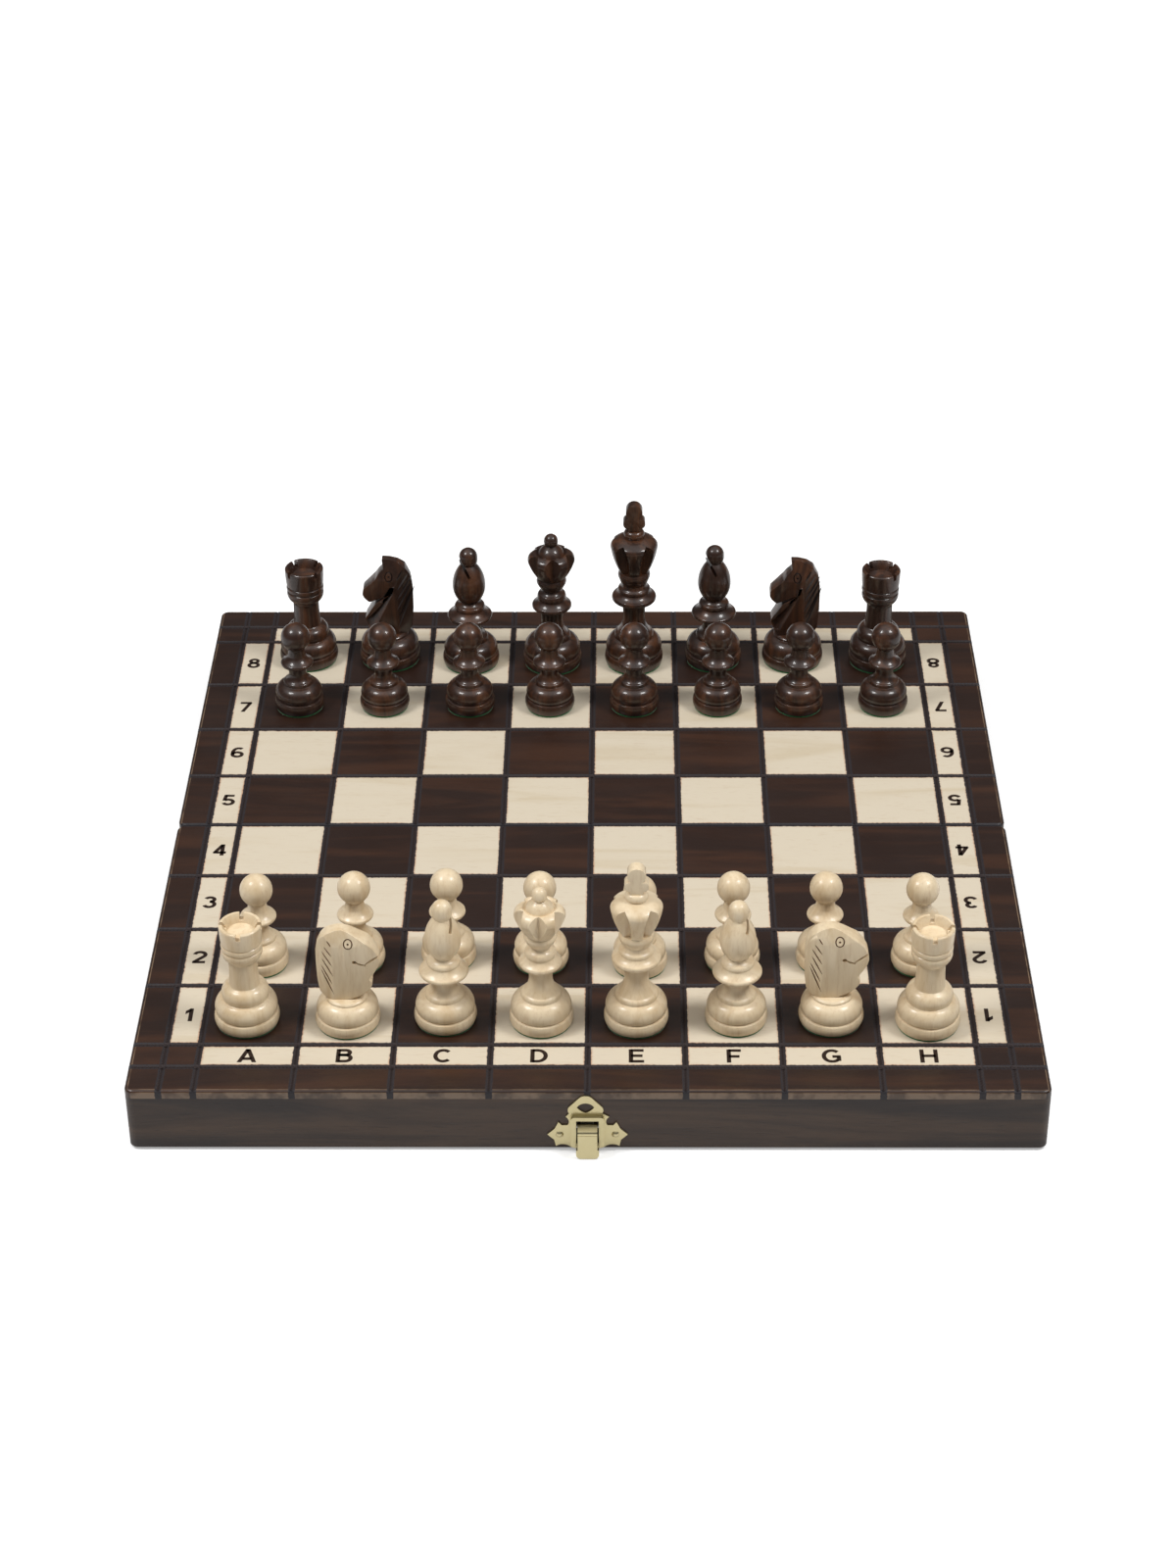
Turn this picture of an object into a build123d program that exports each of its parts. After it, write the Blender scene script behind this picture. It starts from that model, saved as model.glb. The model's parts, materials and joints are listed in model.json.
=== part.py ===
from build123d import *
import os

# Folding chess set: a board in two hinged box halves with a brass clasp, and 32 wooden pieces standing on it.
# Millimetres. +X points to the H file, +Y away from the white player, +Z up.
# The origin is under the middle of the seam, at the lowest point of the hinge knuckles.

os.makedirs("parts", exist_ok=True)

# Board, both halves alike
square = 37.5
files = 8
ranks_in_half = 4
number_strip = 13.3
side_margin = 13.1
letter_strip = 13.5
end_margin = 15.0
groove_width = 2.0
groove_depth = 0.7

# Case
half_height = 27.4
panel_thickness = 3.5
wall_thickness = 7.5
corner_radius = 3.5
arris_radius = 1.2
seam_clearance = 0.1

# Hinges
hinge_from_middle = 105.0
hinge_length = 24.0
hinge_leaf_width = 6.2
hinge_leaf_thickness = 0.9
hinge_pin_radius = 0.6
knuckle_wall = 0.65
middle_knuckle_length = 8.0
knuckle_end_gap = 0.12
axis_below_rim = 0.1
running_clearance = 0.05
leaf_clearance = 0.15
knuckle_clearance = 0.3
screw_spacing = 14.0
screw_radius = 0.8
screw_head_radius = 1.5
screw_length = 7.0

# Clasp, measured up from the rim and out from the wall
sheet_thickness = 0.6
clasp_top = 25.7
arch_lean = 0.7
oval_width = 6.6
oval_height = 4.7
oval_middle = 19.9
pan_width = 12.8
pan_bottom = 1.6
pan_top = 16.4
pan_rise = 1.6
pan_corner_radius = 1.5
window_width = 8.6
window_bottom = 3.8
window_top = 14.7
lever_pivot_out = 1.3
lever_pivot_up = 11.5
lever_barrel_radius = 0.95
lever_pin_radius = 0.5
lever_width = 7.5
lever_reach = 5.75
lever_thickness = 0.55
cheek_width = 8.8
cheek_height = 4.2
cheek_depth = 1.6
cheek_corner_radius = 2.0
hook_bottom = 1.0
hook_reach = 2.55
hook_thickness = 0.45
spring_width = 5.0
spring_thickness = 0.25
spring_gap = 0.03
lip_width = 6.0
lip_clearance = 0.15
lip_thickness = 0.5
nail_from_middle = 10.7
nail_up = 7.0
nail_radius = 0.6
nail_head_radius = 1.5
nail_head_height = 0.8
nail_length = 6.5

# Pieces: the dark set is turned a little larger than the light one
felt_thickness = 0.8
felt_inset = 0.5
king_foot = {"white": 12.7, "black": 13.4}
king_height = {"white": 74.1, "black": 82.8}
queen_foot = {"white": 12.6, "black": 13.5}
queen_height = {"white": 63.8, "black": 67.1}
bishop_foot = {"white": 12.3, "black": 13.0}
bishop_height = {"white": 57.0, "black": 59.9}
knight_foot = {"white": 12.8, "black": 14.0}
knight_height = {"white": 48.0, "black": 53.3}
rook_foot = {"white": 12.8, "black": 13.4}
rook_height = {"white": 47.0, "black": 48.4}
pawn_foot = {"white": 11.2, "black": 11.2}
pawn_height = {"white": 42.9, "black": 42.9}
cross_thickness = 5.0
king_scoops = 5
queen_notches = 6
rook_notches = 4
rook_notch_width = 1.7
rook_notch_depth = 2.6
bishop_slit_width = 1.3
bishop_slit_lean = 57
bishop_slit_foot = 0.775
bishop_slit_past_middle = 0.9
knight_head_thickness = 8.6
knight_edge = 1.3

# Where each piece stands: its square's file, then how far it was set from the square's middle
officers = ["rook", "knight", "bishop", "queen", "king", "bishop", "knight", "rook"]
file_letters = "abcdefgh"
nudges = {
    ("black", "officer"): [(0, 4.5), (0, 5), (0, 1.5), (0, 1.5), (0, 1.5), (-1, 3.5), (-2, 3.5), (-0.5, 2.5)],
    ("black", "pawn"): [(-1, 1), (0, 1), (1, 1), (-0.5, 1), (0, 1), (0, 1), (-1, 1), (-0.5, 1)],
    ("white", "officer"): [(-2, -3.5), (0, -4), (0.5, -2.5), (0.5, -3.5), (0, -3.5), (1.5, -3), (1, -2.5), (1, -5)],
    ("white", "pawn"): [(0, -4), (1, -2.5), (0, -0.5), (-0.5, -2.5), (1.5, -5), (1, -2.5), (0, -2.5), (0.5, -3.5)],
}
# Turn about the vertical of the pieces that aren't the same all round, in degrees
knight_turn = {"white": 0, "black": 180}
bishop_turn = {"white": -139, "black": 0}
rook_turn = {"white": 0, "black": 42}
king_turn = {"white": -87, "black": -88}
queen_turn = {"white": -93, "black": -84}

# Sizes worked out from the ones above
knuckle_radius = hinge_pin_radius + knuckle_wall
rim = knuckle_radius + axis_below_rim
hinge_axis = rim - axis_below_rim
board_top = rim + half_height
panel_bottom = board_top - panel_thickness
board_width = files * square + 2 * (number_strip + side_margin)
half_depth = ranks_in_half * square + letter_strip + end_margin
across = board_width / 2


def block(x0, x1, y0, y1, z0, z1):
    """A box given by its limits."""
    middle = Pos((x0 + x1) / 2, (y0 + y1) / 2, (z0 + z1) / 2)
    return middle * Box(x1 - x0, y1 - y0, z1 - z0)


def rod(x0, x1, radius, y, z):
    """A round bar along X."""
    return Pos((x0 + x1) / 2, y, z) * Rot(0, 90, 0) * Cylinder(radius, x1 - x0)


def spin(strokes, girth=1.0, stretch=1.0):
    """Turn a solid from its half profile, foot first. A stroke is (radius, height), or (radius, height, bow)
    for an arc that stands out from its chord by bow, inwards if negative. A bow of "dome" is a round top."""
    edges = []
    foot = (0, strokes[0][1] * stretch)
    start = foot
    for stroke in strokes:
        end = (stroke[0] * girth, stroke[1] * stretch)
        if end == foot:
            continue
        if len(stroke) == 2:
            edges.append(Line(start, end))
        elif stroke[2] == "dome":
            edges.append(SagittaArc(start, end, -dome_bow(start[0], end[1] - start[1])))
        else:
            edges.append(SagittaArc(start, end, -stroke[2] * girth))
        start = end
    if start[0] > 0:
        edges.append(Line(start, (0, start[1])))
        start = (0, start[1])
    edges.append(Line(start, foot))
    return revolve(Plane.XZ * make_face(edges), Axis.Z)


def dome_bow(radius, rise):
    """How far a dome that is level at its top stands out from the chord between its rim and its top."""
    bend = (radius**2 + rise**2) / (2 * rise)
    return bend - (bend**2 - (radius**2 + rise**2) / 4) ** 0.5


def keep(name, *solids):
    """Write one node, as one file of one or more solids."""
    flat = [s for shape in solids for s in shape.solids()]
    export_step(flat[0] if len(flat) == 1 else Compound(children=flat), f"parts/{name}.step")


# Case halves: every piece is made for the front half, and the rear half is its mirror image

def half_outline(z0, z1):
    """The outline of one half with its rounded upright corners."""
    depth = half_depth - seam_clearance
    plan = RectangleRounded(board_width, depth, corner_radius)
    return Pos(0, -seam_clearance - depth / 2, z0) * extrude(plan, z1 - z0)


def groove(length):
    """A vee groove along Y with its opening level with the board's top."""
    section = Polyline((-groove_width, groove_depth), (0, -groove_depth), (groove_width, groove_depth), close=True)
    return Pos(0, 0, board_top) * extrude(Plane.XZ * make_face(section), length / 2, both=True)


def top_panel():
    panel = half_outline(panel_bottom, board_top)
    panel = fillet(panel.edges().group_by(Axis.Z)[-1], min(arris_radius, 0.4 * panel_thickness))
    grid_edge = files / 2 * square
    depth_lines = [-grid_edge + i * square for i in range(files + 1)]
    depth_lines += [-grid_edge - number_strip, grid_edge + number_strip]
    row_lines = [-(i + 1) * square for i in range(ranks_in_half)]
    row_lines.append(row_lines[-1] - letter_strip)
    cuts = [Pos(x, 0, 0) * groove(3 * half_depth) for x in depth_lines]
    cuts += [Pos(0, y, 0) * Rot(0, 0, 90) * groove(2 * board_width) for y in row_lines]
    return panel - cuts


def frame_wall(x0, x1, y0, y1):
    return half_outline(rim, panel_bottom) & block(x0, x1, y0, y1, rim, panel_bottom)


def hinge_pocket(x):
    """The recess for a leaf in the rim, with room for the knuckles."""
    half = hinge_length / 2 + leaf_clearance
    leaf = block(-half, half, -hinge_leaf_width - leaf_clearance, 1, rim - 1, rim + hinge_leaf_thickness)
    return Pos(x, 0, 0) * (leaf + rod(-half, half, knuckle_radius + knuckle_clearance, 0, hinge_axis))


def screw_places():
    across_leaf = -(knuckle_radius + hinge_leaf_width) / 2 - running_clearance
    for x in (-hinge_from_middle, hinge_from_middle):
        for side in (-1, 1):
            yield Pos(x + side * screw_spacing / 2, across_leaf, rim)


def countersunk_screw(extra=0.0):
    """A countersunk wood screw pointing up from the rim; extra widens it for its hole."""
    head = hinge_leaf_thickness - running_clearance
    strokes = [(screw_head_radius + extra, running_clearance - extra), (screw_radius + extra, head)]
    strokes.append((screw_radius + extra, screw_length + extra))
    return spin(strokes)


def seam_wall():
    wall = frame_wall(-across, across, -seam_clearance - wall_thickness, 0)
    wall -= [hinge_pocket(-hinge_from_middle), hinge_pocket(hinge_from_middle)]
    return wall - [place * countersunk_screw(running_clearance) for place in screw_places()]


def nail():
    """A round-headed nail along Z, its head's seat at zero."""
    head = [(nail_radius, -nail_length), (nail_radius, 0), (nail_head_radius, 0)]
    return spin(head + [(0, nail_head_height, "dome")])


def nail_places():
    for side in (-1, 1):
        yield wall_face * Pos(side * nail_from_middle, nail_up, sheet_thickness)


def outer_wall():
    wall = frame_wall(-across, across, -half_depth, -half_depth + wall_thickness)
    hole = Pos(0, 0, -nail_length / 2) * Cylinder(nail_radius + running_clearance, nail_length)
    return wall - [place * hole for place in nail_places()]


def side_wall(side):
    low = min(side * across, side * (across - wall_thickness))
    return frame_wall(low, low + wall_thickness, -half_depth + wall_thickness, -seam_clearance - wall_thickness)


# Butt hinges: the front leaf carries the two outer knuckles and the rear leaf the middle one

def knuckle(x0, x1):
    return rod(x0, x1, knuckle_radius, 0, hinge_axis)


def hinge_leaf(outer):
    """One leaf on the front side, either with the outer knuckles or with the middle one."""
    half = hinge_length / 2
    inner = middle_knuckle_length / 2
    if outer:
        spans = [(-half, -inner - knuckle_end_gap), (inner + knuckle_end_gap, half)]
    else:
        spans = [(-inner, inner)]
    clear = knuckle_radius + leaf_clearance
    leaf = block(-half, half, -hinge_leaf_width, -clear, rim, rim + hinge_leaf_thickness)
    for x0, x1 in spans:
        leaf += block(x0, x1, -clear, -hinge_pin_radius / 2, rim, rim + hinge_leaf_thickness)
        leaf += knuckle(x0, x1)
    fit = 0 if outer else running_clearance
    return leaf - rod(-half, half, hinge_pin_radius + max(fit, running_clearance / 2), 0, hinge_axis)


def leaf_at(x, outer):
    leaf = Pos(x, 0, 0) * hinge_leaf(outer)
    return leaf - [place * countersunk_screw(running_clearance) for place in screw_places()]


# Clasp: a stamped plate with a raised pan, and in its window a sprung lever on a pin

wall_face = Plane(origin=(0, -half_depth, rim), x_dir=(1, 0, 0), z_dir=(0, -1, 0)).location
side_view = Plane(origin=(0, -half_depth, rim), x_dir=(0, -1, 0), z_dir=(-1, 0, 0)).location


def plate_side(side):
    """The stamped outline of one side, from the foot up to the arch."""
    lean = (-arch_lean, 0)
    foot = (side * 6.1, 0.4)
    low_point = (side * 12.2, 1.2)
    star = [low_point, (side * 12.8, 4.3), (side * 15.4, 6.9), (side * 12.6, 9.7), (side * 11.1, 13.0)]
    neck = (side * 7.6, 11.5)
    barb = (side * 8.3, 15.6)
    shoulder = (side * 6.3 + lean[0], 17.3)
    haunch = (side * 6.1 + lean[0], 20.6)
    crest = (side * 2.3 + lean[0], clasp_top - 0.8)
    return [
        Polyline((0, 0), (side * 4.6, 0), foot),
        ThreePointArc(foot, (side * 9.0, 2.1), low_point),
        Polyline(*star, (side * 9.9, 11.5), neck),
        ThreePointArc(neck, (side * 7.1, 13.2), barb),
        Line(barb, shoulder),
        ThreePointArc(shoulder, (side * 6.75 + lean[0], 19.0), haunch),
        Line(haunch, crest),
        ThreePointArc(crest, (side * 1.2 + lean[0], clasp_top - 0.15), (lean[0], clasp_top)),
    ]


def oval_hole():
    """The almond opening in the arch: round above and pointed below."""
    left, right = (-oval_width / 2, oval_middle + 0.3), (oval_width / 2, oval_middle + 0.3)
    top, bottom = oval_middle + oval_height / 2, oval_middle - oval_height / 2
    edges = [
        ThreePointArc(left, (0, top), right),
        SagittaArc(right, (0, bottom), 0.35),
        SagittaArc((0, bottom), left, 0.35),
    ]
    return Pos(-arch_lean, 0, 0) * make_face(edges)


def stamped_sheet():
    outline = make_face(plate_side(1) + plate_side(-1)) - oval_hole()
    outline -= [Pos(side * nail_from_middle, nail_up) * Circle(nail_radius + running_clearance) for side in (-1, 1)]
    return wall_face * extrude(outline, sheet_thickness)


def clasp_plate():
    height = pan_top - pan_bottom
    middle = Pos(0, (pan_top + pan_bottom) / 2, 0)
    inside = 2 * sheet_thickness
    pan = RectangleRounded(pan_width, height, pan_corner_radius)
    hollow = RectangleRounded(pan_width - inside, height - inside, pan_corner_radius - sheet_thickness / 2)
    window = Rectangle(window_width, window_top - window_bottom)
    plate = stamped_sheet() + wall_face * middle * extrude(pan, sheet_thickness + pan_rise)
    plate -= wall_face * middle * extrude(hollow, pan_rise)
    plate -= wall_face * Pos(0, (window_top + window_bottom) / 2, 0) * extrude(window, 2 * pan_rise + sheet_thickness)
    pin_room = lever_pin_radius + running_clearance / 2
    plate -= rod(-pan_width, pan_width, pin_room, -half_depth - lever_pivot_out, rim + lever_pivot_up)
    notch = Rectangle(lip_width + 2 * knuckle_clearance, 2 * lip_thickness)
    return plate - wall_face * extrude(notch, sheet_thickness + pan_rise)


def lever_section():
    """The lever from the side: arm, bend, hanging leg and the hook that turns in at its foot."""
    out, up, thick = lever_pivot_out, lever_pivot_up, lever_thickness
    bend, fall = 1.35, 0.9
    arm_end = up + lever_barrel_radius - fall
    inner = lever_reach - thick
    foot = -hook_bottom
    toe = lever_reach - hook_reach
    edges = [
        Line((out, up + lever_barrel_radius), (lever_reach - bend, arm_end)),
        SagittaArc((lever_reach - bend, arm_end), (lever_reach, arm_end - bend), -0.36),
        Polyline((lever_reach, arm_end - bend), (lever_reach, foot + 0.35), (lever_reach - 0.35, foot), (toe, foot)),
        Polyline((toe, foot), (toe, foot + 0.2), (toe + 0.3, foot + hook_thickness), (inner, foot + hook_thickness)),
        Line((inner, foot + hook_thickness), (inner, arm_end - bend)),
        SagittaArc((inner, arm_end - bend), (lever_reach - bend, arm_end - thick), 0.2),
        Polyline((lever_reach - bend, arm_end - thick), (out, up), (out, up + lever_barrel_radius)),
    ]
    barrel = Pos(out, up) * Circle(lever_barrel_radius)
    return make_face(edges) + barrel - Pos(out, up) * Circle(lever_pin_radius + running_clearance)


def lever():
    """The lever's strip, and the wider foot with its cheeks folded back."""
    strip = side_view * extrude(lever_section(), lever_width / 2, both=True)
    low, high = -hook_bottom, cheek_height - hook_bottom
    face = Pos(0, (low + high) / 2) * Rectangle(cheek_width, cheek_height)
    face = fillet(face.vertices().group_by(Axis.Y)[0], cheek_corner_radius)
    shell = extrude(Pos(0, 0, lever_reach - cheek_depth) * face, cheek_depth)
    inside = offset(face, -lever_thickness)
    inside += Pos(0, high) * Rectangle(cheek_width - 2 * lever_thickness, cheek_height)
    shell -= extrude(inside, lever_reach - lever_thickness)
    return strip + wall_face * shell


def clasp_spring():
    """The flat leaf behind the lever, lying on the wood inside the pan."""
    tall = pan_top - pan_bottom - 3 * sheet_thickness
    middle = Pos(0, (pan_top + pan_bottom) / 2, spring_gap + spring_thickness / 2)
    return wall_face * middle * Box(spring_width, tall, spring_thickness)


def clasp_pin():
    half = pan_width / 2
    return rod(-half, half, lever_pin_radius, -half_depth - lever_pivot_out, rim + lever_pivot_up)


def keeper():
    """The plate on the other half, with the lip that the lever's hook catches."""
    lip_reach = lever_reach - cheek_depth - lip_clearance
    lip = Pos(0, 0, lip_reach / 2) * Box(lip_width, lip_thickness, lip_reach)
    return stamped_sheet() + wall_face * lip


# Chess pieces: each is one turned or carved block of wood on a felt disc.
# Their profiles are drawn at one size, and each colour's foot and height set its girth and stretch.

def foot_strokes(foot, shoulder, ring_height):
    """The foot and the bulge above it, which every piece has, and the step up from the bulge's top."""
    return [
        (foot - 0.7, 0),
        (foot - 0.5, 4.9, 0.55),
        (foot - 1.1, 5.2),
        (shoulder + 0.6, ring_height - 0.2, 0.5 + 0.25 * (foot - shoulder)),
        (shoulder, ring_height),
        (shoulder, ring_height + 0.4),
    ]


def dressed(strokes, drawn_foot, drawn_height, foot, height):
    """The turned wood at the wanted foot radius and height, felt included."""
    wood_height = height - felt_thickness
    return spin(strokes, foot / drawn_foot, wood_height / drawn_height)


def v_scoop(low, high, depth, half_width):
    """A vee-edged cutter, as a double cone whose rim passes inside the profile from low to high."""
    run, rise = high[0] - low[0], high[1] - low[1]
    chord = (run**2 + rise**2) ** 0.5
    radius = (chord**2 / 4 + depth**2) / (2 * depth)
    reach = radius - depth
    middle_r = (low[0] + high[0]) / 2 + rise / chord * reach
    middle_z = (low[1] + high[1]) / 2 - run / chord * reach
    thick = radius * half_width / depth
    cutter = spin([(0, -thick), (radius, 0), (0, thick)])
    return Pos(middle_r, 0, middle_z) * Rot(90, 0, 0) * cutter


def cut_round(wood, cutter, count):
    return wood - [Rot(0, 0, 360 * i / count) * cutter for i in range(count)]


def pawn(color):
    drawn_foot, drawn_height = 11.2, 42.1
    strokes = foot_strokes(drawn_foot, 6.6, 12.2)
    strokes += [(5.7, 13.9, 0.3), (3.9, 17.4, -0.4)]  # bead and flare
    strokes += [(4.3, 20.3), (6.9, 21.8)]  # stem and the collar's underside
    strokes += [(6.8, 23.5, 0.4), (3.4, 25.8, -0.3)]  # collar
    strokes += [(6.6, 34.4, 1.4), (0, drawn_height, "dome")]  # head
    return dressed(strokes, drawn_foot, drawn_height, pawn_foot[color], pawn_height[color])


def rook(color):
    drawn_foot, drawn_height = 13.4, 47.6
    strokes = foot_strokes(drawn_foot, 9.4, 12.4)
    strokes += [(6.9, 18.4, 1.3), (6.3, 18.8), (5.8, 29.8, -0.15)]  # upper ring and stem
    strokes += [(6.0, 30.8), (8.1, 33.6, 0.3), (8.2, 35.9, 0.2), (7.8, 36.2)]  # lower band
    strokes += [(8.2, 36.5), (8.3, 38.7, 0.2), (7.9, 39.0), (8.3, 39.3)]  # upper band
    strokes += [(8.7, drawn_height - 0.5, 0.1), (8.3, drawn_height), (7.3, drawn_height)]  # wall of the cup
    strokes += [(5.4, 44.0, 0.2), (0, 43.6)]  # inside of the cup
    wood = dressed(strokes, drawn_foot, drawn_height, rook_foot[color], rook_height[color])
    top = rook_height[color] - felt_thickness
    reach = rook_foot[color]
    slot = block(0, reach, -rook_notch_width / 2, rook_notch_width / 2, top - rook_notch_depth, top + 1)
    return cut_round(wood, slot, rook_notches)


def bishop(color):
    drawn_foot, drawn_height = 13.0, 59.1
    strokes = foot_strokes(drawn_foot, 8.1, 12.3)
    strokes += [(6.9, 14.4, 0.35), (4.9, 18.6, -0.5)]  # bead and flare
    strokes += [(5.1, 21.8), (9.7, 23.6)]  # stem and the collar's underside
    strokes += [(9.8, 25.4, 0.45), (6.7, 28.2, -0.3), (6.4, 30.4, 0.4), (4.3, 32.2, -0.3)]  # collars
    strokes += [(7.4, 41.2, 1.0), (3.5, 51.0, 0.9)]  # mitre
    strokes += [(4.15, 54.6, 0.3), (0, drawn_height, "dome")]  # ball
    wood = dressed(strokes, drawn_foot, drawn_height, bishop_foot[color], bishop_height[color])
    reach = bishop_foot[color]
    slit = Pos(reach / 2, 0, 0) * Box(reach, 2 * reach, bishop_slit_width)
    slit_bottom = Pos(bishop_slit_past_middle, 0, bishop_slit_foot * bishop_height[color])
    slit = slit_bottom * Rot(0, bishop_slit_lean - 180, 0) * slit
    return Rot(0, 0, bishop_turn[color]) * (wood - slit)


def queen(color):
    drawn_foot, drawn_height = 13.5, 66.3
    girth = queen_foot[color] / drawn_foot
    stretch = (queen_height[color] - felt_thickness) / drawn_height
    strokes = foot_strokes(drawn_foot, 8.5, 13.2)
    strokes += [(7.3, 15.4, 0.35), (5.0, 23.4, -0.8)]  # bead and flare
    strokes += [(5.2, 27.4), (8.5, 28.8)]  # stem and the collar's underside
    strokes += [(8.6, 30.8, 0.45), (6.2, 33.2, -0.2), (6.0, 36.2, 0.45), (4.1, 38.2, -0.3)]  # collars
    strokes += [(6.2, 41.0, 0.3), (6.4, 43.8, 0.45), (6.1, 44.2)]  # ring under the crown
    strokes += [(10.2, 51.8, 0.35), (8.7, 56.6, 1.1), (7.0, 57.0, 0.2), (6.1, 56.3)]  # coronet
    strokes += [(2.3, 60.6, 0.6), (3.15, 63.1, 0.35), (0, drawn_height, "dome")]  # dome and ball
    wood = dressed(strokes, drawn_foot, drawn_height, queen_foot[color], queen_height[color])
    root, rim, spread = 8.2 * girth, 13 * girth, 7 * girth
    notch = make_face(Polyline((root, 0), (rim, -spread), (rim, spread), close=True))
    notch = Pos(0, 0, 45 * stretch) * extrude(notch, 14 * stretch)
    return Rot(0, 0, queen_turn[color]) * cut_round(wood, notch, queen_notches)


def cross(girth, stretch):
    """The cross on the king's crown: two lobes for arms and a large one on top."""
    shape = Pos(0, 63.6) * Rectangle(5.2, 6.4)
    shape += [Pos(side * 2.6, 65.0) * Circle(2.1) for side in (-1, 1)]
    shape += Pos(0, 69.75) * Circle(3.55)
    slab = Plane.XZ * extrude(shape, cross_thickness / 2, both=True)
    return scale(slab, by=(girth, 1, stretch))


def king(color):
    drawn_foot, drawn_height = 12.7, 73.3
    girth = king_foot[color] / drawn_foot
    stretch = (king_height[color] - felt_thickness) / drawn_height
    strokes = foot_strokes(drawn_foot, 8.5, 12.4)
    strokes += [(7.3, 14.6, 0.35), (4.7, 22.4, -0.8)]  # bead and flare
    strokes += [(4.9, 28.2), (9.0, 29.4)]  # stem and the collar's underside
    strokes += [(9.2, 31.4, 0.45), (6.7, 33.4, -0.3), (6.6, 35.0, 0.3), (5.3, 37.2, -0.4)]  # collars
    strokes += [(6.4, 39.6, 0.2), (6.5, 42.3, 0.45), (6.2, 42.7)]  # ring under the crown
    strokes += [(10.0, 53.6, 0.5), (8.9, 56.4, 0.5), (4.0, 58.2, 0.3)]  # crown
    strokes += [(3.4, 61.4, 0.75)]  # bead
    wood = spin(strokes, girth, stretch)
    scoop = v_scoop((4.6 * girth, 40.0 * stretch), (9.3 * girth, 57.3 * stretch), 1.2, 1.25)
    scoop &= block(0, 2 * king_foot[color], -king_foot[color], king_foot[color], 42.8 * stretch, 60 * stretch)
    wood = cut_round(wood, Rot(0, 0, 180 / king_scoops) * scoop, king_scoops)
    return Rot(0, 0, king_turn[color]) * wood + cross(girth, stretch)


def horse_head(tall):
    """The knight's head, facing +X: one outline from the side, thinned towards mane and nose
    as seen from above, and towards the ear as seen from the front."""
    foot, keel, chest, throat, chin = (5.0, 14.0), (9.8, 16.2), (11.9, 19.2), (4.0, 29.8), (9.7, 27.0)
    muzzle, nose, brow, poll = (12.8, 31.5), (12.0, 38.6), (5.4, 42.6), (1.3, 47.6)
    ear, crest, nape, tail, heel = (1.9, 52.5), (-8.0, 47.2), (-12.6, 34.0), (-11.2, 16.2), (-8.5, 14.0)
    edges = [
        FilletPolyline(foot, keel, chest, throat, chin, muzzle, nose, brow, radius=[1.2, 1.0, 0.6, 1.4, 1.6, 1.8]),
        SagittaArc(brow, poll, -0.6),
        Line(poll, ear),
        ThreePointArc(ear, crest, nape),
        Polyline(nape, tail, heel, foot),
    ]
    half = knight_head_thickness / 2
    thin = half - knight_edge
    side = Plane.XZ * extrude(make_face(edges), half, both=True)
    lens = [(nape[0], -0.3 * half), (-7.0, -half), (7.0, -half), (muzzle[0], -thin)]
    lens += [(x, -y) for x, y in reversed(lens)]
    above = extrude(make_face(Polyline(*lens, close=True)), ear[1])
    taper = [(-half, 0), (half, 0), (half, brow[1]), (0.35 * half, ear[1]), (-0.35 * half, ear[1]), (-half, brow[1])]
    front = Plane.YZ * extrude(make_face(Polyline(*taper, close=True)), -2 * nape[0], both=True)
    return scale(side & above & front, by=(1, 1, tall))


def knight(color):
    drawn_foot, drawn_height = 14.0, 52.5
    girth = knight_foot[color] / drawn_foot
    stretch = (knight_height[color] - felt_thickness) / drawn_height
    strokes = foot_strokes(drawn_foot, 8.8, 13.2)
    strokes += [(7.0, 14.6, 0.3), (0, 14.8)]  # neck
    return Rot(0, 0, knight_turn[color]) * (spin(strokes, girth, stretch) + horse_head(stretch))


makers = {"pawn": pawn, "rook": rook, "knight": knight, "bishop": bishop, "queen": queen, "king": king}
feet = {"pawn": pawn_foot, "rook": rook_foot, "knight": knight_foot}
feet.update({"bishop": bishop_foot, "queen": queen_foot, "king": king_foot})


def piece_name(color, kind, column):
    """King and queen have no file in their names, because there is one of each."""
    return f"{color}_{kind}" if kind in ("king", "queen") else f"{color}_{kind}_{file_letters[column]}"


def standing_pieces():
    """Set the pieces out for a game: white in front and black behind."""
    for color, side in (("white", -1), ("black", 1)):
        wood = {kind: makers[kind](color) for kind in makers}
        for column in range(files):
            rows = [(officers[column], "officer", ranks_in_half - 0.5), ("pawn", "pawn", ranks_in_half - 1.5)]
            for kind, row, squares_out in rows:
                nudge = nudges[color, row][column]
                x = (column - (files - 1) / 2) * square + nudge[0]
                y = side * squares_out * square + nudge[1]
                felt_radius = feet[kind][color] - 0.7 - felt_inset
                felt = Pos(x, y, board_top + felt_thickness / 2) * Cylinder(felt_radius, felt_thickness)
                body = Pos(x, y, board_top + felt_thickness) * wood[kind]
                keep(piece_name(color, kind, column), body, felt)


def rear(shape):
    return mirror(shape, Plane.XZ)


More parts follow.
